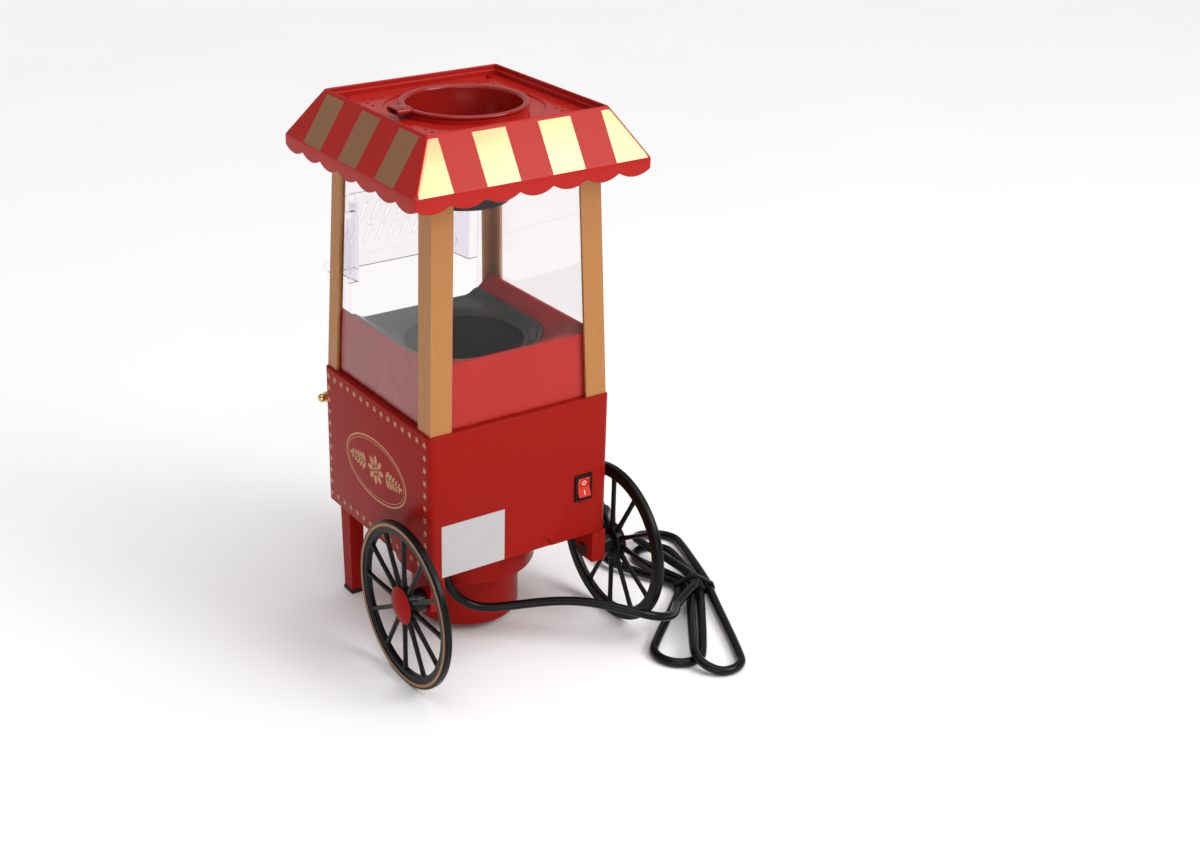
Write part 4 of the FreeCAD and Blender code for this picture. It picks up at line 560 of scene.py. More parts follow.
def make_materials():
    return {
        "red": red_plastic("red_satin_plastic", (0.25, 0.29), 1.13),
        "red_gloss": red_plastic("red_gloss_plastic", (0.15, 0.19), 1.45),
        "red_tray": plain("red_tray_plastic", (0.42, 0.011, 0.007), (0.46, 0.014, 0.009), (0.15, 0.19),
                          index=1.38),
        "roof": striped_red(),
        "gold": gold_lacquer(),
        "clear": clear_plastic("clear_plastic", 0.25, 1.07),
        "clear_side": clear_plastic("clear_side_plastic", 0.65, 1.12),
        "black": plain("black_plastic", BLACK_DARK, BLACK_LIGHT, BLACK_GLOSS, index=1.24),
        "pan": plain("pan_black", (0.006, 0.0055, 0.0055), (0.009, 0.008, 0.008), (0.12, 0.16), index=1.36),
        "chamber": plain("dark_anodised", (0.009, 0.009, 0.0095), (0.014, 0.0135, 0.0135), (0.30, 0.40),
                         metallic=0.5),
        "steel": plain("bright_steel", (0.50, 0.50, 0.51), (0.62, 0.62, 0.63), (0.25, 0.40), metallic=1.0),
        "sheet": plain("sheet_steel", (0.48, 0.48, 0.50), (0.60, 0.60, 0.62), (0.32, 0.50), metallic=1.0),
        "brass": plain("pin_brass", (0.62, 0.47, 0.22), (0.76, 0.60, 0.32), (0.18, 0.32), metallic=1.0),
        "handle": plain("handle_gold", (0.66, 0.40, 0.15), (0.78, 0.50, 0.22), (0.16, 0.28), metallic=0.9),
        "label": plain("label_film", (0.43, 0.412, 0.415), (0.47, 0.452, 0.455), (0.38, 0.55),
                       cloud_scale=90.0),
        "rubber": plain("foot_rubber", (0.007, 0.007, 0.007), (0.013, 0.013, 0.013), (0.6, 0.8), peel=0.2),
        "dark_steel": plain("blackened_steel", (0.06, 0.058, 0.058), (0.10, 0.097, 0.097), (0.35, 0.45),
                            metallic=0.9),
        "cord": plain("cord_sheath", (0.003, 0.003, 0.0033), (0.005, 0.005, 0.0055), (0.20, 0.26),
                      index=1.27),
        "mica": plain("mica_sheet", (0.42, 0.34, 0.20), (0.62, 0.54, 0.38), (0.35, 0.55), cloud_scale=120.0),
        "board": plain("resin_board", (0.22, 0.14, 0.05), (0.32, 0.22, 0.09), (0.40, 0.55),
                       cloud_scale=200.0),
        "switch": plain("switch_red", (0.50, 0.020, 0.010), (0.62, 0.032, 0.016), (0.08, 0.14), coat=0.5),
        "print": plain("gold_print", (0.44, 0.22, 0.095), (0.54, 0.29, 0.13), (0.38, 0.50), metallic=0.3,
                       cloud_scale=160.0),
        "mark": plain("switch_mark", (0.78, 0.74, 0.72), (0.86, 0.83, 0.81), (0.4, 0.5), cloud_scale=200.0),
    }


# Cord: the lead's route, then the loops of its hank, in millimetres from the machine's middle on the floor

LEAD = [(44.053, 44.053, 74.0), (44.053, 44.053, 59.4), (38.8, 46.1, 45.9), (29.3, 50.0, 35.6),
        (16.9, 55.1, 30.2), (1.0, 62.5, 30.5), (-16.0, 72.0, 33.0), (-32.0, 84.0, 36.0), (-46.5, 97.0, 37.5),
        (-60.0, 110.5, 36.5), (-76.0, 126.0, 33.0), (-93.0, 132.5, 27.0), (-110.0, 127.0, 20.3),
        (-124.5, 112.0, 15.8)]
HANK_TIE = (-167.0, 81.0)
HANK_TURN = math.radians(60.0)
# Heights of the cord's middle: on the floor, over another cord, and twice at the tie
LOW = 3.6
OVER = 11.5
WAIST_LOW = 5.4
WAIST_HIGH = 12.3
WAIST_HALF = 8.0
WAIST_SLOT = 4.0
CURVE_INSIDE = 0.966
# Each loop: its end of the hank, reach, lean in degrees, half width, heights, and the waist slot after it
HANK_LOOPS = (
    (-1, 95.0, 15.0, 19.0, (OVER, LOW, LOW), -3),
    (1, 120.8, -1.5, 18.0, (LOW, LOW, OVER), 1),
    (-1, 76.0, 25.0, 16.5, (LOW, LOW, LOW), -1),
    (1, 112.0, 15.5, 18.5, (LOW, LOW, LOW), 3),
)


def in_metres(place):
    x, y, z = place
    return (x * MM, y * MM + MIDDLE_Y, z * MM)


def hank_point(along, side, z):
    return (HANK_TIE[0] + along * math.cos(HANK_TURN) + side * math.sin(HANK_TURN),
            HANK_TIE[1] + along * math.sin(HANK_TURN) - side * math.cos(HANK_TURN), z)


def hank_loop(end, reach, aim, half_width, heights):
    # Seven points round a loop's end, a little outside its width because the curve runs inside them.
    lean = math.radians(aim)
    ahead = (end * math.cos(lean), math.sin(lean))
    aside = (-end * math.sin(lean), math.cos(lean))
    first, middle, last = heights
    places = []
    for step in range(7):
        swing = math.radians(30.0 * step)
        out = half_width / CURVE_INSIDE * math.cos(swing) * -end
        forth = half_width / CURVE_INSIDE * math.sin(swing) + reach - half_width
        share = step / 3.0
        if share <= 1.0:
            z = first + (middle - first) * share
        else:
            z = middle + (last - middle) * (share - 1.0)
        places.append(hank_point(ahead[0] * forth + aside[0] * out, ahead[1] * forth + aside[1] * out, z))
    return places


def waist(slot, end, z=WAIST_LOW):
    # Through the tie, from that end of the hank to the other.
    return [hank_point(way * end * WAIST_HALF, slot * WAIST_SLOT, z) for way in (1, -1)]


def cord_points():
    points = LEAD + [hank_point(41.5, 19.6, 14.3), hank_point(20.0, 8.0, 13.4)]
    points += waist(0, 1, WAIST_HIGH)
    for end, reach, aim, half_width, heights, slot in HANK_LOOPS:
        points += hank_loop(end, reach, aim, half_width, heights)
        points += waist(slot, end)
    points += [hank_point(-27.0, 46.0, 5.1), hank_point(-46.0, 72.0, 8.0), hank_point(-66.0, 72.0, 8.6)]
    return [in_metres(point) for point in points]


def make_cord(material):
    points = cord_points()
    curve = bpy.data.curves.new("mains_lead", "CURVE")
    curve.dimensions = "3D"
    curve.bevel_depth = CORD_RADIUS
    curve.bevel_resolution = 5
    curve.resolution_u = 8
    curve.use_fill_caps = True
    spline = curve.splines.new("NURBS")
    spline.points.add(len(points) - 1)
    for place, point in zip(points, spline.points):
        point.co = (*place, 1.0)
    spline.order_u = 3
    spline.use_endpoint_u = True
    curve.materials.append(material)
    cord = new_object("mains_lead", curve)
    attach(cord, "body")
    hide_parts("cord_lead", "cord_hank")
    return cord, points[0]


# Tie and plug

def tie_outline(grow):
    # A band drawn tight round four cords side by side with a fifth on top.
    outer_slot = 3 * WAIST_SLOT
    cords = [Vector((-outer_slot, WAIST_LOW)), Vector((outer_slot, WAIST_LOW)), Vector((0.0, WAIST_HIGH))]
    places = []
    for across, up in arc(0.0, 0.0, 1.0, 0.0, 360.0, 72)[:-1]:
        ahead = Vector((across, up))
        cord = max(cords, key=lambda place: place.dot(ahead))
        places.append(cord + ahead * (CORD_RADIUS / MM + grow))
    return places


def make_tie(material):
    half, edge = 3.0, 2.6
    inside, shoulder, outside = 0.1, 0.9, 1.2
    clear_of_floor = 0.3
    sections = ((-half, inside), (-half, shoulder), (-edge, outside), (edge, outside), (half, shoulder),
                (half, inside))
    rings = []
    for along, grow in sections:
        places = tie_outline(grow)
        rings.append([in_metres(hank_point(along, side, max(z, clear_of_floor))) for side, z in places])
    tie = skinned("cord_tie_band", rings, closed=True)
    return dress(tie, "cord_tie", material, 40.0)


# Plug in millimetres: its tail's start and length, then places, half widths and half heights of its body
PLUG_START = (-137.6, -12.2, 8.6)
PLUG_TAIL = 22
PLUG_BODY = ((22.0, 8.0, 7.0), (23.0, 13.0, 8.0), (25.0, 15.8, 8.45), (30.0, 16.4, 8.5), (38.0, 14.4, 7.9),
             (46.0, 14.6, 7.9), (54.0, 17.2, 8.5), (58.5, 17.45, 8.5), (59.6, 17.0, 8.1), (60.0, 16.0, 7.3))


def plug_tail():
    # Rings a millimetre apart on a cone that widens towards the body, two in four drawn in between ribs.
    rings = []
    for step in range(PLUG_TAIL + 1):
        radius = 4.4 + 2.3 * step / PLUG_TAIL
        if step % 4 in (1, 2):
            radius -= 0.7
        rings.append((step, radius, radius))
    return rings


def make_plug(material):
    # Grip body with drawn-in flanks behind a ribbed tail.
    sections = [[size * MM for size in section] for section in plug_tail() + list(PLUG_BODY)]
    plug = tube("plug_body_moulded", sections, 40, (0.62, 0.62))
    turn = Matrix.Rotation(HANK_TURN + math.pi, 4, "Z")
    plug.data.transform(Matrix.Translation(in_metres(PLUG_START)) @ turn)
    outward(plug)
    return dress(plug, "plug_body", material, 50.0)


# Base and what hangs below it

def niche_cutter():
    # A shallow half-round recess in the lower edge of the rear face.
    depth, reach = 1.2 * MM, 4.0 * MM
    inner, outer = 9.9 * MM, 10.1 * MM
    niche_x = -18.0 * MM
    niche = turned("niche_cut", [(0, -depth), (inner, -depth), (outer, reach), (0, reach)], 48, closed=False)
    turn = Matrix.Rotation(-math.pi / 2, 4, "X")
    niche.data.transform(Matrix.Translation((niche_x, base_high.y, base_low.z)) @ turn)
    return outward(niche)


def switch_cutter():
    low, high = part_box("switch_bezel")
    return box_mesh("switch_cut", low + Vector((1, -1, 1)) * MM, high - Vector((1, -4, 1)) * MM)


def make_base(red):
    foot = base_low.z
    top = base_high.z
    edge = 1.3 * MM
    profile = [(BASE_WALL, foot), (0.8 * MM, foot), (0.25 * MM, foot + 0.2 * MM), (0.0, foot + 0.8 * MM)]
    profile += [(0.0, top - edge - 6 * MM)]
    profile += [(edge - r, z) for r, z in arc(0.0, top - edge, edge, 0.0, 90.0)]
    profile += [(BASE_LEDGE, top), (BASE_LEDGE, top - BASE_WALL), (BASE_WALL, top - BASE_WALL)]
    rings = []
    for inset, z in profile:
        rings.append(rounded_rectangle(BASE_HALF_X - inset, BASE_HALF_Y - inset, BASE_CORNER - inset, z))
    shell = skinned("base_shell_moulded", rings, closed=True)
    cut_away(shell, [niche_cutter(), switch_cutter()])
    dress(shell, "base_shell", red)


def make_housing(red):
    # Round motor cup: open below inside a rim, a wider tier above, and a flange against the base.
    box_low, box_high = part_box("motor_housing")
    low, high, flange = box_low.z, box_high.z, box_high.x
    tier = 54.5 * MM
    cup = 42.0 * MM
    wall = 2.2 * MM
    opening = 33.8 * MM
    edge = 4.0 * MM
    cup_top = 41.0 * MM
    tier_foot = 51.0 * MM
    flange_foot = high - 2.6 * MM
    profile = [(opening, low)] + arc(cup - edge, low + edge, edge, -90, 0)
    profile += [(cup, cup_top), (cup + 0.7 * MM, cup_top + 1.6 * MM), (tier - 0.9 * MM, tier_foot - 1.7 * MM)]
    profile += [(tier, tier_foot), (tier, flange_foot), (flange - 0.5 * MM, flange_foot)]
    profile += [(flange, flange_foot + 0.6 * MM), (flange, high), (tier - wall, high)]
    profile += [(tier - wall, tier_foot + 0.5 * MM), (cup - wall, cup_top + 2.5 * MM)]
    profile += [(cup - wall, low + wall), (opening, low + wall)]
    housing = turned("motor_housing_moulded", profile, 112, MIDDLE)
    dress(housing, "motor_housing", red, 28.0)


# Pan round the chamber's mouth

PAN_CORNER = 50.0 * MM
PAN_MOUTH = 45.0 * MM
PAN_LIP = 4.5 * MM
PAN_LIP_FLAT = 1.0 * MM
PAN_SAG = 2.1 * MM
PAN_EDGE = 0.4 * MM
PAN_ROWS = 18


def pan_outline(half, front):
    # Round rear corners, straight sides and a straight front, as seen from above.
    bend = half - PAN_CORNER
    sides = [front + (bend - front) * step / 12 for step in range(12)]
    places = [(half, y) for y in sides]
    places += arc(bend, bend, PAN_CORNER, 0.0, 90.0, 24)
    places += arc(-bend, bend, PAN_CORNER, 90.0, 180.0, 24)
    places += [(-half, y) for y in reversed(sides)]
    places += [(half * (step / 20 - 1), front) for step in range(1, 40)]
    return places


def eased(share):
    share = max(0.0, min(1.0, share))
    return share * share * (3.0 - 2.0 * share)


def pan_height(x, y, half):
    # Height over the level floor: up to the lip along the walls and down towards the mouth.
    bend = half - PAN_CORNER
    run = half - PAN_MOUTH
    from_wall = PAN_CORNER - math.hypot(max(abs(x) - bend, 0.0), max(y - bend, 0.0))
    rise = PAN_LIP * (1.0 - eased((from_wall - PAN_LIP_FLAT) / (run - PAN_LIP_FLAT)))
    fall = PAN_SAG * (1.0 - eased((math.hypot(x, y) - PAN_MOUTH) / run))
    return rise - fall


def make_pan(material):
    # The floor falls from its lip in a smooth dish to the mouth, and has no lip at the front.
    low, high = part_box("chute_pan")
    half = high.x
    level = high.z - PAN_LIP
    outline = pan_outline(half, low.y - MIDDLE_Y)
    rings = [[Vector((x, y + MIDDLE_Y, low.z)) for x, y in outline]]
    for row in range(PAN_ROWS + 1):
        share = (row / PAN_ROWS) ** 1.6
        rounding = PAN_EDGE if row == 0 else 0.0
        ring = []
        for outer_x, outer_y in outline:
            shrink = 1.0 + (PAN_MOUTH / math.hypot(outer_x, outer_y) - 1.0) * share
            x, y = outer_x * shrink, outer_y * shrink
            ring.append(Vector((x, y + MIDDLE_Y, level + pan_height(x, y, half) - rounding)))
        rings.append(ring)
    rings.append([Vector((point.x, point.y, low.z)) for point in rings[-1]])
    pan = skinned("chute_pan_dished", rings, closed=True)
    dress(pan, "chute_pan", material, 40.0)


# Roof

# Inner rim of the roof, in millimetres in from its top edge and down from its top
RIM_PROFILE = ((3.1, 8.1), (3.1, 4.1), (2.7, 3.7), (2.0, 3.6), (1.7, 3.3), (1.7, 0.7), (1.4, 0.2), (1.0, 0.0),
               (0.5, 0.0), (-0.1, 0.4), (-0.6, 1.2))


def scallop_drop(share):
    # How far the valance hangs below the eave, at a place from -1 to 1 along one side.
    pitch = 2 * roof_high.x / SCALLOPS
    sag = SCALLOP_LOW - SCALLOP_HIGH
    radius = (pitch * pitch / 4 + sag * sag) / (2 * sag)
    place = (share + 1) / 2 * SCALLOPS
    across = (place - min(math.floor(place), SCALLOPS - 1) - 0.5) * pitch
    return SCALLOP_HIGH + math.sqrt(max(radius * radius - across * across, 0.0)) - (radius - sag)


def roof_ring(half, z):
    return rounded_rectangle(half, half, ROOF_CORNER, z, SCALLOPS * SCALLOP_STEPS)


def scalloped(half, share, lift):
    # A ring at that share of the valance's drop, raised by lift.
    ring = roof_ring(half, EAVE_Z)
    for point in ring:
        x, y = point.x, point.y - MIDDLE_Y
        along = x if abs(y) >= abs(x) else y
        along = max(-1.0, min(1.0, along / roof_high.x))
        point.z -= share * scallop_drop(along) - lift
    return ring


def make_roof(material):
    eave = roof_high.x
    top = roof_high.z
    edge = ROOF_TOP_HALF
    wall = 2.2 * MM
    hem = 0.5 * MM
    outside = [(edge - inset * MM, top - drop * MM) for inset, drop in RIM_PROFILE]
    outside += [(edge + (eave - edge) * share, top + (EAVE_Z - top) * share) for share in (0.25, 0.5, 0.75)]
    outside += [(eave - 0.9 * MM, EAVE_Z + 1.5 * MM), (eave - 0.25 * MM, EAVE_Z + 0.5 * MM)]
    outside += [(eave, EAVE_Z - 0.6 * MM)]
    valance = [(eave, 0.5, 0.0), (eave, 1.0, hem), (eave - hem, 1.0, 0.0), (eave - wall + hem, 1.0, 0.0)]
    valance += [(eave - wall, 1.0, hem)]
    inside = [(eave - wall, EAVE_Z - 1.0 * MM), (eave - wall - 1.0 * MM, EAVE_Z)]
    inside += [(edge - 2.0 * MM, top - 9.5 * MM)]
    rings = [roof_ring(half, z) for half, z in outside]
    rings += [scalloped(half, share, lift) for half, share, lift in valance]
    rings += [roof_ring(half, z) for half, z in inside]
    roof = skinned("canopy_moulded", rings, closed=True)
    dress(roof, "canopy", material, 24.0)


CUP_RIM = 47.0 * MM
CUP_SEAT = 408.4 * MM


def make_cup(red):
    # Cup with a thick rolled rim and a short hollow tab on its right side.
    top = CUP_SEAT + 2.4 * MM
    neck = CUP_SEAT - 4.9 * MM
    throat = 43.2 * MM
    foot = 33.0 * MM
    wall = 1.8 * MM
    floor = cup_low.z
    roll = 1.2 * MM
    inner_roll = 2.2 * MM
    bend = 3.0 * MM
    profile = [(0.0, floor)] + arc(foot - bend, floor + bend, bend, -90, -15)
    profile += [(throat, neck), (throat, CUP_SEAT - 0.1 * MM), (CUP_RIM - roll / 2, CUP_SEAT)]
    profile += arc(CUP_RIM - roll, CUP_SEAT + roll, roll, -60, 90)
    profile += [(throat + 0.6 * MM, top)]
    profile += arc(throat + 0.4 * MM, top - inner_roll, inner_roll, 100, 180)
    profile += [(throat - wall, neck), (foot - wall, floor + 3.4 * MM), (foot - 4 * MM, floor + wall)]
    profile += [(0.0, floor + wall)]
    bowl = turned("cup_bowl", profile, 128, MIDDLE, closed=False)
    cup = join("measuring_cup_moulded", [bowl, cup_tab()])
    dress(cup, "measuring_cup", red, 35.0)


def cup_tab():
    # Squared tube outwards from the rim, with a hollow end.
    half_width = 8.0 * MM
    end = cup_high.x
    half_height = (cup_high.z - CUP_SEAT) / 2
    sections = ((CUP_RIM - 1.8 * MM, 0.9), (CUP_RIM + 0.6 * MM, 0.97), (CUP_RIM + 4 * MM, 1.0),
                (end - 0.5 * MM, 1.0), (end, 0.93), (end, 0.70), (end - 0.4 * MM, 0.66),
                (end - 6.5 * MM, 0.6))
    ovals = [(x, half_width * size, half_height * size) for x, size in sections]
    return tube("cup_tab", ovals, 28, (0.45, 0.55), (MIDDLE_Y, CUP_SEAT + half_height))


# Geometry Nodes trees

def geometry_tree(name, count, *sizes):
    # A tree with a shape, a count, lengths and a material going in.
    tree = bpy.data.node_groups.new(name, "GeometryNodeTree")
    add_sockets(tree, "INPUT", "Geometry", "Geometry")
    add_sockets(tree, "INPUT", "Float", *sizes)
    add_sockets(tree, "INPUT", "Int", count)
    add_sockets(tree, "INPUT", "Material", "Material")
    add_sockets(tree, "OUTPUT", "Geometry", "Geometry")
    return tree, node_of(tree, "NodeGroupInput").outputs


def copies_on_points(tree, start, points, shape):
    # The shape on each point, as one plain mesh with the tree's material.
    copies = node_of(tree, "GeometryNodeInstanceOnPoints", {"Points": points, "Instance": shape})
    whole = node_of(tree, "GeometryNodeRealizeInstances", {0: copies.outputs[0]})
    inputs = {"Geometry": whole.outputs[0], "Material": start["Material"]}
    finish = node_of(tree, "GeometryNodeSetMaterial", inputs)
    node_of(tree, "NodeGroupOutput", {0: finish.outputs[0]})
    return copies


def spoke_tree():
    # Copies of one spoke set round an upright axis.
    tree, start = geometry_tree("spokes_round_a_hub", "Count")
    points = node_of(tree, "GeometryNodePoints", {"Count": start["Count"]})
    index = node_of(tree, "GeometryNodeInputIndex").outputs[0]
    share = maths(tree, "DIVIDE", index, start["Count"])
    facing = node_of(tree, "ShaderNodeCombineXYZ", {"Z": maths(tree, "MULTIPLY", share, 2 * math.pi)})
    copies = copies_on_points(tree, start, points.outputs[0], start["Geometry"])
    set_inputs(copies, {"Rotation": facing.outputs[0]})
    return tree


def star_tree():
    # Small stars set on the points of a mesh.
    sizes = ("Points", "Outer Radius", "Inner Radius")
    tree, start = geometry_tree("stars_on_points", *sizes, "Thickness")
    star = node_of(tree, "GeometryNodeCurveStar", {name: start[name] for name in sizes})
    fill = node_of(tree, "GeometryNodeFillCurve", {"Curve": star.outputs["Curve"]})
    inputs = {"Mesh": fill.outputs["Mesh"], "Offset Scale": start["Thickness"], "Individual": False}
    thick = node_of(tree, "GeometryNodeExtrudeMesh", inputs)
    copies_on_points(tree, start, start["Geometry"], thick.outputs["Mesh"])
    return tree


def repeated(made, tree, values):
    repeat = made.modifiers.new("repeat", "NODES")
    repeat.node_group = tree
    for item in tree.interface.items_tree:
        if item.in_out == "INPUT" and item.name in values:
            repeat[item.identifier] = values[item.name]
    return baked(made)


# Wheels

# One spoke in millimetres: reach from the axle, half width and half thickness
SPOKE_SECTIONS = ((10.0, 2.3, 2.1), (16.0, 2.2, 2.0), (24.0, 1.8, 1.7), (44.0, 1.7, 1.6), (51.5, 1.9, 1.7),
                  (56.0, 2.6, 2.0))


def one_spoke(middle):
    # A rounded bar from inside the hub to inside the rim, stouter at both ends.
    sections = [[size * MM for size in section] for section in SPOKE_SECTIONS]
    return tube("one_spoke", sections, 16, (0.7, 0.7), (0.0, middle))


def wheel_rim(outer):
    inner = outer - 5.6 * MM
    inside = WHEEL_RADIUS - 10.0 * MM
    edge = 1.5 * MM
    lip = 1.2 * MM
    profile = arc(WHEEL_RADIUS - edge, outer - edge, edge, 90, 0, 6)
    profile += arc(WHEEL_RADIUS - edge, inner + edge, edge, 0, -90, 6)
    profile += arc(inside + edge, inner + edge, edge, -90, -180, 6)
    profile += arc(inside + lip, outer - lip - 0.7 * MM, lip, 180, 100, 6)
    profile += [(inside + 4.2 * MM, outer - 0.6 * MM), (inside + 4.7 * MM, outer - 0.1 * MM)]
    profile += [(inside + 5.2 * MM, outer)]
    return turned("rim", profile, 160)


def wheel_hub(outer):
    # A sleeve towards the bracket, a flange that holds the spokes, and a seat for the cap.
    bore = 3.1 * MM
    sleeve = 9.0 * MM
    sleeve_end = 78.0 * MM
    seat = 7.5 * MM
    seat_floor = outer - 4.6 * MM
    flange = 14.0 * MM
    flange_back = outer - 7.0 * MM
    edge = 1.2 * MM
    chamfer = 0.4 * MM
    profile = [(bore, sleeve_end), (sleeve - chamfer, sleeve_end), (sleeve, sleeve_end + chamfer)]
    profile += [(sleeve, flange_back)] + arc(flange - edge, flange_back + edge, edge, -90, 0)
    profile += arc(flange - edge, outer - edge, edge, 0, 90)
    profile += [(seat, outer), (seat, seat_floor), (bore, seat_floor)]
    return turned("hub", profile, 72)


def make_wheel(node, side, tree, black):
    outer = wheel_high.x
    spokes = repeated(one_spoke(outer - 2.8 * MM), tree, {"Count": SPOKES, "Material": black})
    wheel = join(node + "_spoked", [wheel_rim(outer), wheel_hub(outer), spokes])
    onto_axle(wheel, side)
    dress(wheel, node, black, 35.0)


def make_hub_cap(node, side, red):
    # A shallow dome with a small rolled edge, and a stub that sits in the hub.
    face = cap_low.x
    reach = 14.3 * MM
    stub = 7.5 * MM
    height = cap_high.x - face
    shell = height - 1.6 * MM
    ball = (reach * reach + height * height) / (2 * height)
    spread = math.degrees(math.asin(reach / ball))
    dome = arc(0.0, face + height - ball, ball, 90.0 - spread * 0.93, 90.0, 14)
    profile = [(stub, face), (reach - 0.5 * MM, face), (reach, face + 0.35 * MM)] + dome[:-1]
    profile += [(0.0, face + height), (0.0, face + shell), (stub, face + shell)]
    cap = turned(node + "_domed", profile, 72)
    onto_axle(cap, side)
    dress(cap, node, red, 40.0)


# Printed border and ornament on the side faces

def on_side_face(made, side):
    # From the XY plane to a side face of the base: X of the drawing runs along the face, Y runs up.
    turn = Matrix(((0, 0, side, 0), (side, 0, 0, 0), (0, 1, 0, 0), (0, 0, 0, 1)))
    middle = Vector((side * BASE_HALF_X, MIDDLE_Y, (base_low.z + base_high.z) / 2))
    made.data.transform(Matrix.Translation(middle) @ turn)
    outward(made)


def border_points():
    half_x = BASE_HALF_Y - PRINT_MARGIN
    half_y = (base_high.z - base_low.z) / 2 - PRINT_MARGIN
    places = []
    for step in range(STARS_ACROSS + 1):
        x = half_x * (2 * step / STARS_ACROSS - 1)
        places += [(x, half_y, 0), (x, -half_y, 0)]
    for step in range(1, STARS_UP):
        y = half_y * (2 * step / STARS_UP - 1)
        places += [(half_x, y, 0), (-half_x, y, 0)]
    return places


def flat_ring(name, half_x, half_y, line, steps, middle_x=0.0):
    points = []
    faces = []
    for step in range(steps):
        angle = 2 * math.pi * step / steps
        c, s = math.cos(angle), math.sin(angle)
        points += [(middle_x + (half_x - inset) * c, (half_y - inset) * s, 0.0) for inset in (0.0, line)]
        after = (step + 1) % steps
        faces.append((2 * step, 2 * after, 2 * after + 1, 2 * step + 1))
    return mesh_object(name, points, faces)


def leaf(name, place, turn, length, width):
    # Pointed oval from its stalk's place outwards, one edge there and the other back.
    steps = 12
    shares = [step / steps for step in range(steps + 1)]
    points = [(share * length, -width / 2 * abs(math.sin(math.pi * share)) ** 0.8, 0.0) for share in shares]
    points += [(x, -y, 0.0) for x, y, _ in reversed(points[1:-1])]
    made = mesh_object(name, points, [tuple(range(len(points)))])
    made.data.transform(Matrix.Translation((*place, 0.0)) @ Matrix.Rotation(turn, 4, "Z"))
    return made


def leaf_spray(side):
    # Five pairs of leaves that get smaller outwards, a leaf at the tip and a thin stem.
    outwards = 0.0 if side > 0 else math.pi
    parts = []
    for step in range(5):
        x = side * (15.5 + 4.6 * step) * MM
        length = (8.2 - 0.9 * step) * MM
        for lift in (1, -1):
            turn = outwards + side * lift * math.radians(52.0)
            parts.append(leaf("spray", (x, lift * 0.5 * MM), turn, length, length * 0.42))
    parts.append(leaf("spray_tip", (side * 34.5 * MM, 0.0), outwards, 6.0 * MM, 2.6 * MM))
    parts.append(flat_ring("stem", 10.5 * MM, 0.36 * MM, 0.35 * MM, 24, side * 25.0 * MM))
    return parts


def ornament_parts():
    # An oval frame with a rosette and two leaf sprays.
    parts = [flat_ring("oval_outer", 46 * MM, 25 * MM, 1.3 * MM, 96)]
    parts.append(flat_ring("oval_inner", 43 * MM, 22 * MM, 0.5 * MM, 96))
    parts.append(flat_ring("rosette_eye", 2.6 * MM, 2.6 * MM, 1.5 * MM, 32))
    stalk = 3.6 * MM
    for petal in range(8):
        angle = petal * math.pi / 4
        place = (stalk * math.cos(angle), stalk * math.sin(angle))
        parts.append(leaf("petal", place, angle, 8.5 * MM, 4.4 * MM))
    for side in (1, -1):
        parts += leaf_spray(side)
    return parts


def make_side_print(side, name, tree, gold):
    stars = mesh_object("stars_" + name, border_points(), [])
    repeated(stars, tree, {"Points": 5, "Outer Radius": 3.0 * MM, "Inner Radius": 1.25 * MM,
                           "Thickness": PRINT_LIFT, "Material": gold})
    ornament = thickened(join("ornament_" + name, ornament_parts()), PRINT_LIFT, 1.0)
    for made in (stars, ornament):
        on_side_face(made, side)
        finished(made, gold, "body")


# Switch marks

def place_on_rocker(mark, middle_x, half):
    # A ray from behind finds the face of that half of the rocker, and the mark lies just off it.
    rocker = nodes["switch_rocker"].data
    middle_z = (rocker_low.z + rocker_high.z) / 2
    reach = (rocker_high.z - rocker_low.z) / 2
    aim = Vector((middle_x, rocker_high.y + 10 * MM, middle_z + half * reach / 2))
    tree = BVHTree.FromPolygons([v.co for v in rocker.vertices], [f.vertices for f in rocker.polygons])
    spot, normal = tree.ray_cast(aim, Vector((0.0, -1.0, 0.0)))[:2]
    across = Vector((-1.0, 0.0, 0.0))
    up = normal.cross(across).normalized()
    stand = Matrix((across, up, normal)).transposed().to_4x4()
    mark.data.transform(Matrix.Translation(spot + normal * 0.05 * MM) @ stand)


def make_switch_marks(white):
    # A ring on the upper half of the rocker and a bar on the lower half.
    middle_x = (rocker_low.x + rocker_high.x) / 2
    ring = flat_ring("switch_ring", 1.7 * MM, 1.9 * MM, 0.55 * MM, 32)
    half_x, half_y = 0.3 * MM, 1.8 * MM
    corners = [(-half_x, -half_y, 0), (half_x, -half_y, 0), (half_x, half_y, 0), (-half_x, half_y, 0)]
    bar = mesh_object("switch_bar", corners, [(0, 1, 2, 3)])
    place_on_rocker(ring, middle_x, 1)
    place_on_rocker(bar, middle_x, -1)
    marks = thickened(join("switch_marks", [ring, bar]), 0.06 * MM, 0.0)
    finished(marks, white, "rocker")


# The whole machine

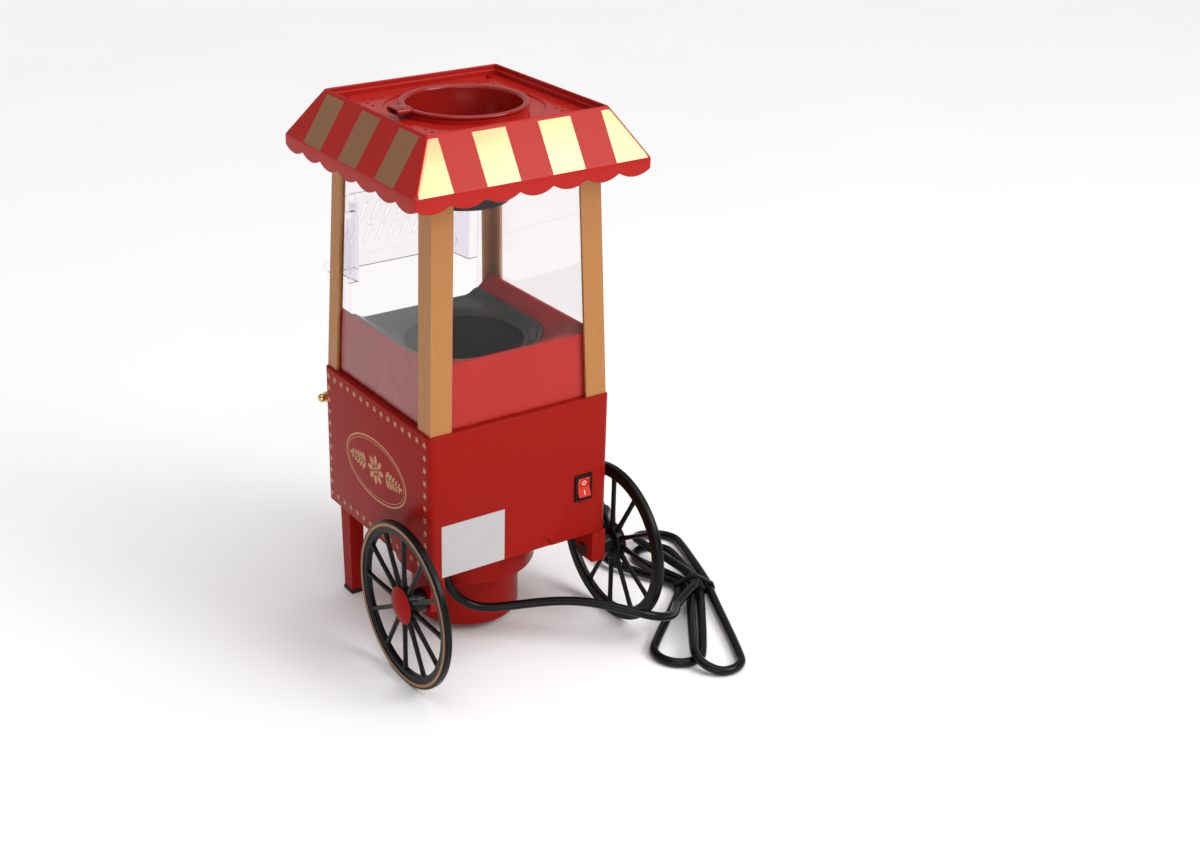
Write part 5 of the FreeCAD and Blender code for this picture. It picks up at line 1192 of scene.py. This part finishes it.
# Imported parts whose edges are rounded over: finish, edge width in millimetres and parts
SOFTENED = (
    ("red_tray", 0.35, ("canopy_tray",)),
    ("red", 0.6, ("deck_shell",)),
    ("rubber", 0.5, ("foot_pad_right", "foot_pad_left")),
    ("gold", 0.35, ("corner_post_front_right", "corner_post_front_left", "corner_post_rear_right",
                    "corner_post_rear_left")),
    ("chamber", 0.15, ("popping_chamber",)),
    ("black", 0.4, ("feed_bowl",)),
    ("black", 0.35, ("switch_bezel",)),
    ("switch", 0.3, ("switch_rocker",)),
    ("handle", 0.25, ("push_handle",)),
    ("label", 0.08, ("rating_label",)),
    ("cord", 0.3, ("cord_gland",)),
)
# Clear walls: finish and parts
CLEAR_PANELS = (
    ("clear_side", ("side_window_right", "side_window_left")),
    ("clear", ("rear_window", "front_frame", "front_flap")),
)

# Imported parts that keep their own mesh: finish and parts
KEPT = (
    ("red", ("base_floor", "roof_screws")),
    ("black", ("intake_grille", "fan_impeller", "motor_carrier")),
    ("sheet", ("air_duct", "motor_can", "thermostat")),
    ("dark_steel", ("axle_right", "axle_left")),
    ("steel", ("axle_clips", "motor_shaft", "heater_coil", "floor_screws", "housing_screws", "bracket_screws",
               "leg_screws")),
    ("mica", ("heater_frame",)),
    ("board", ("rectifier_board", "thermal_fuse")),
    ("brass", ("switch_terminals",)),
)


def make_lead(look):
    cord, cord_exit = make_cord(look["cord"])
    plug = make_plug(look["cord"])
    tie = make_tie(look["black"])
    pins = softened("plug_pins", look["brass"], 0.4 * MM)


def make_machine():
    look = make_materials()
    make_lead(look)
    make_base(look["red"])
    make_housing(look["red"])
    make_pan(look["pan"])
    make_roof(look["roof"])
    make_cup(look["red_gloss"])
    for finish, width, members in SOFTENED:
        for node in members:
            softened(node, look[finish], width * MM)
    for node in ("front_leg_right", "front_leg_left", "axle_bracket_right", "axle_bracket_left"):
        softened(node, look["red"], 0.8 * MM, 3)
    for finish, members in CLEAR_PANELS:
        for node in members:
            mark_rims(softened(node, look[finish], 0.2 * MM))
    make_switch_marks(look["mark"])
    spokes = spoke_tree()
    stars = star_tree()
    for name, side in (("right", 1), ("left", -1)):
        make_wheel("wheel_" + name, side, spokes, wheel_black(name))
        make_hub_cap("hub_cap_" + name, side, look["red"])
        make_side_print(side, name, stars, look["print"])
    for finish, members in KEPT:
        for node in members:
            nodes[node].data.materials.clear()
            nodes[node].data.materials.append(look[finish])


make_camera()
make_studio()
make_machine()
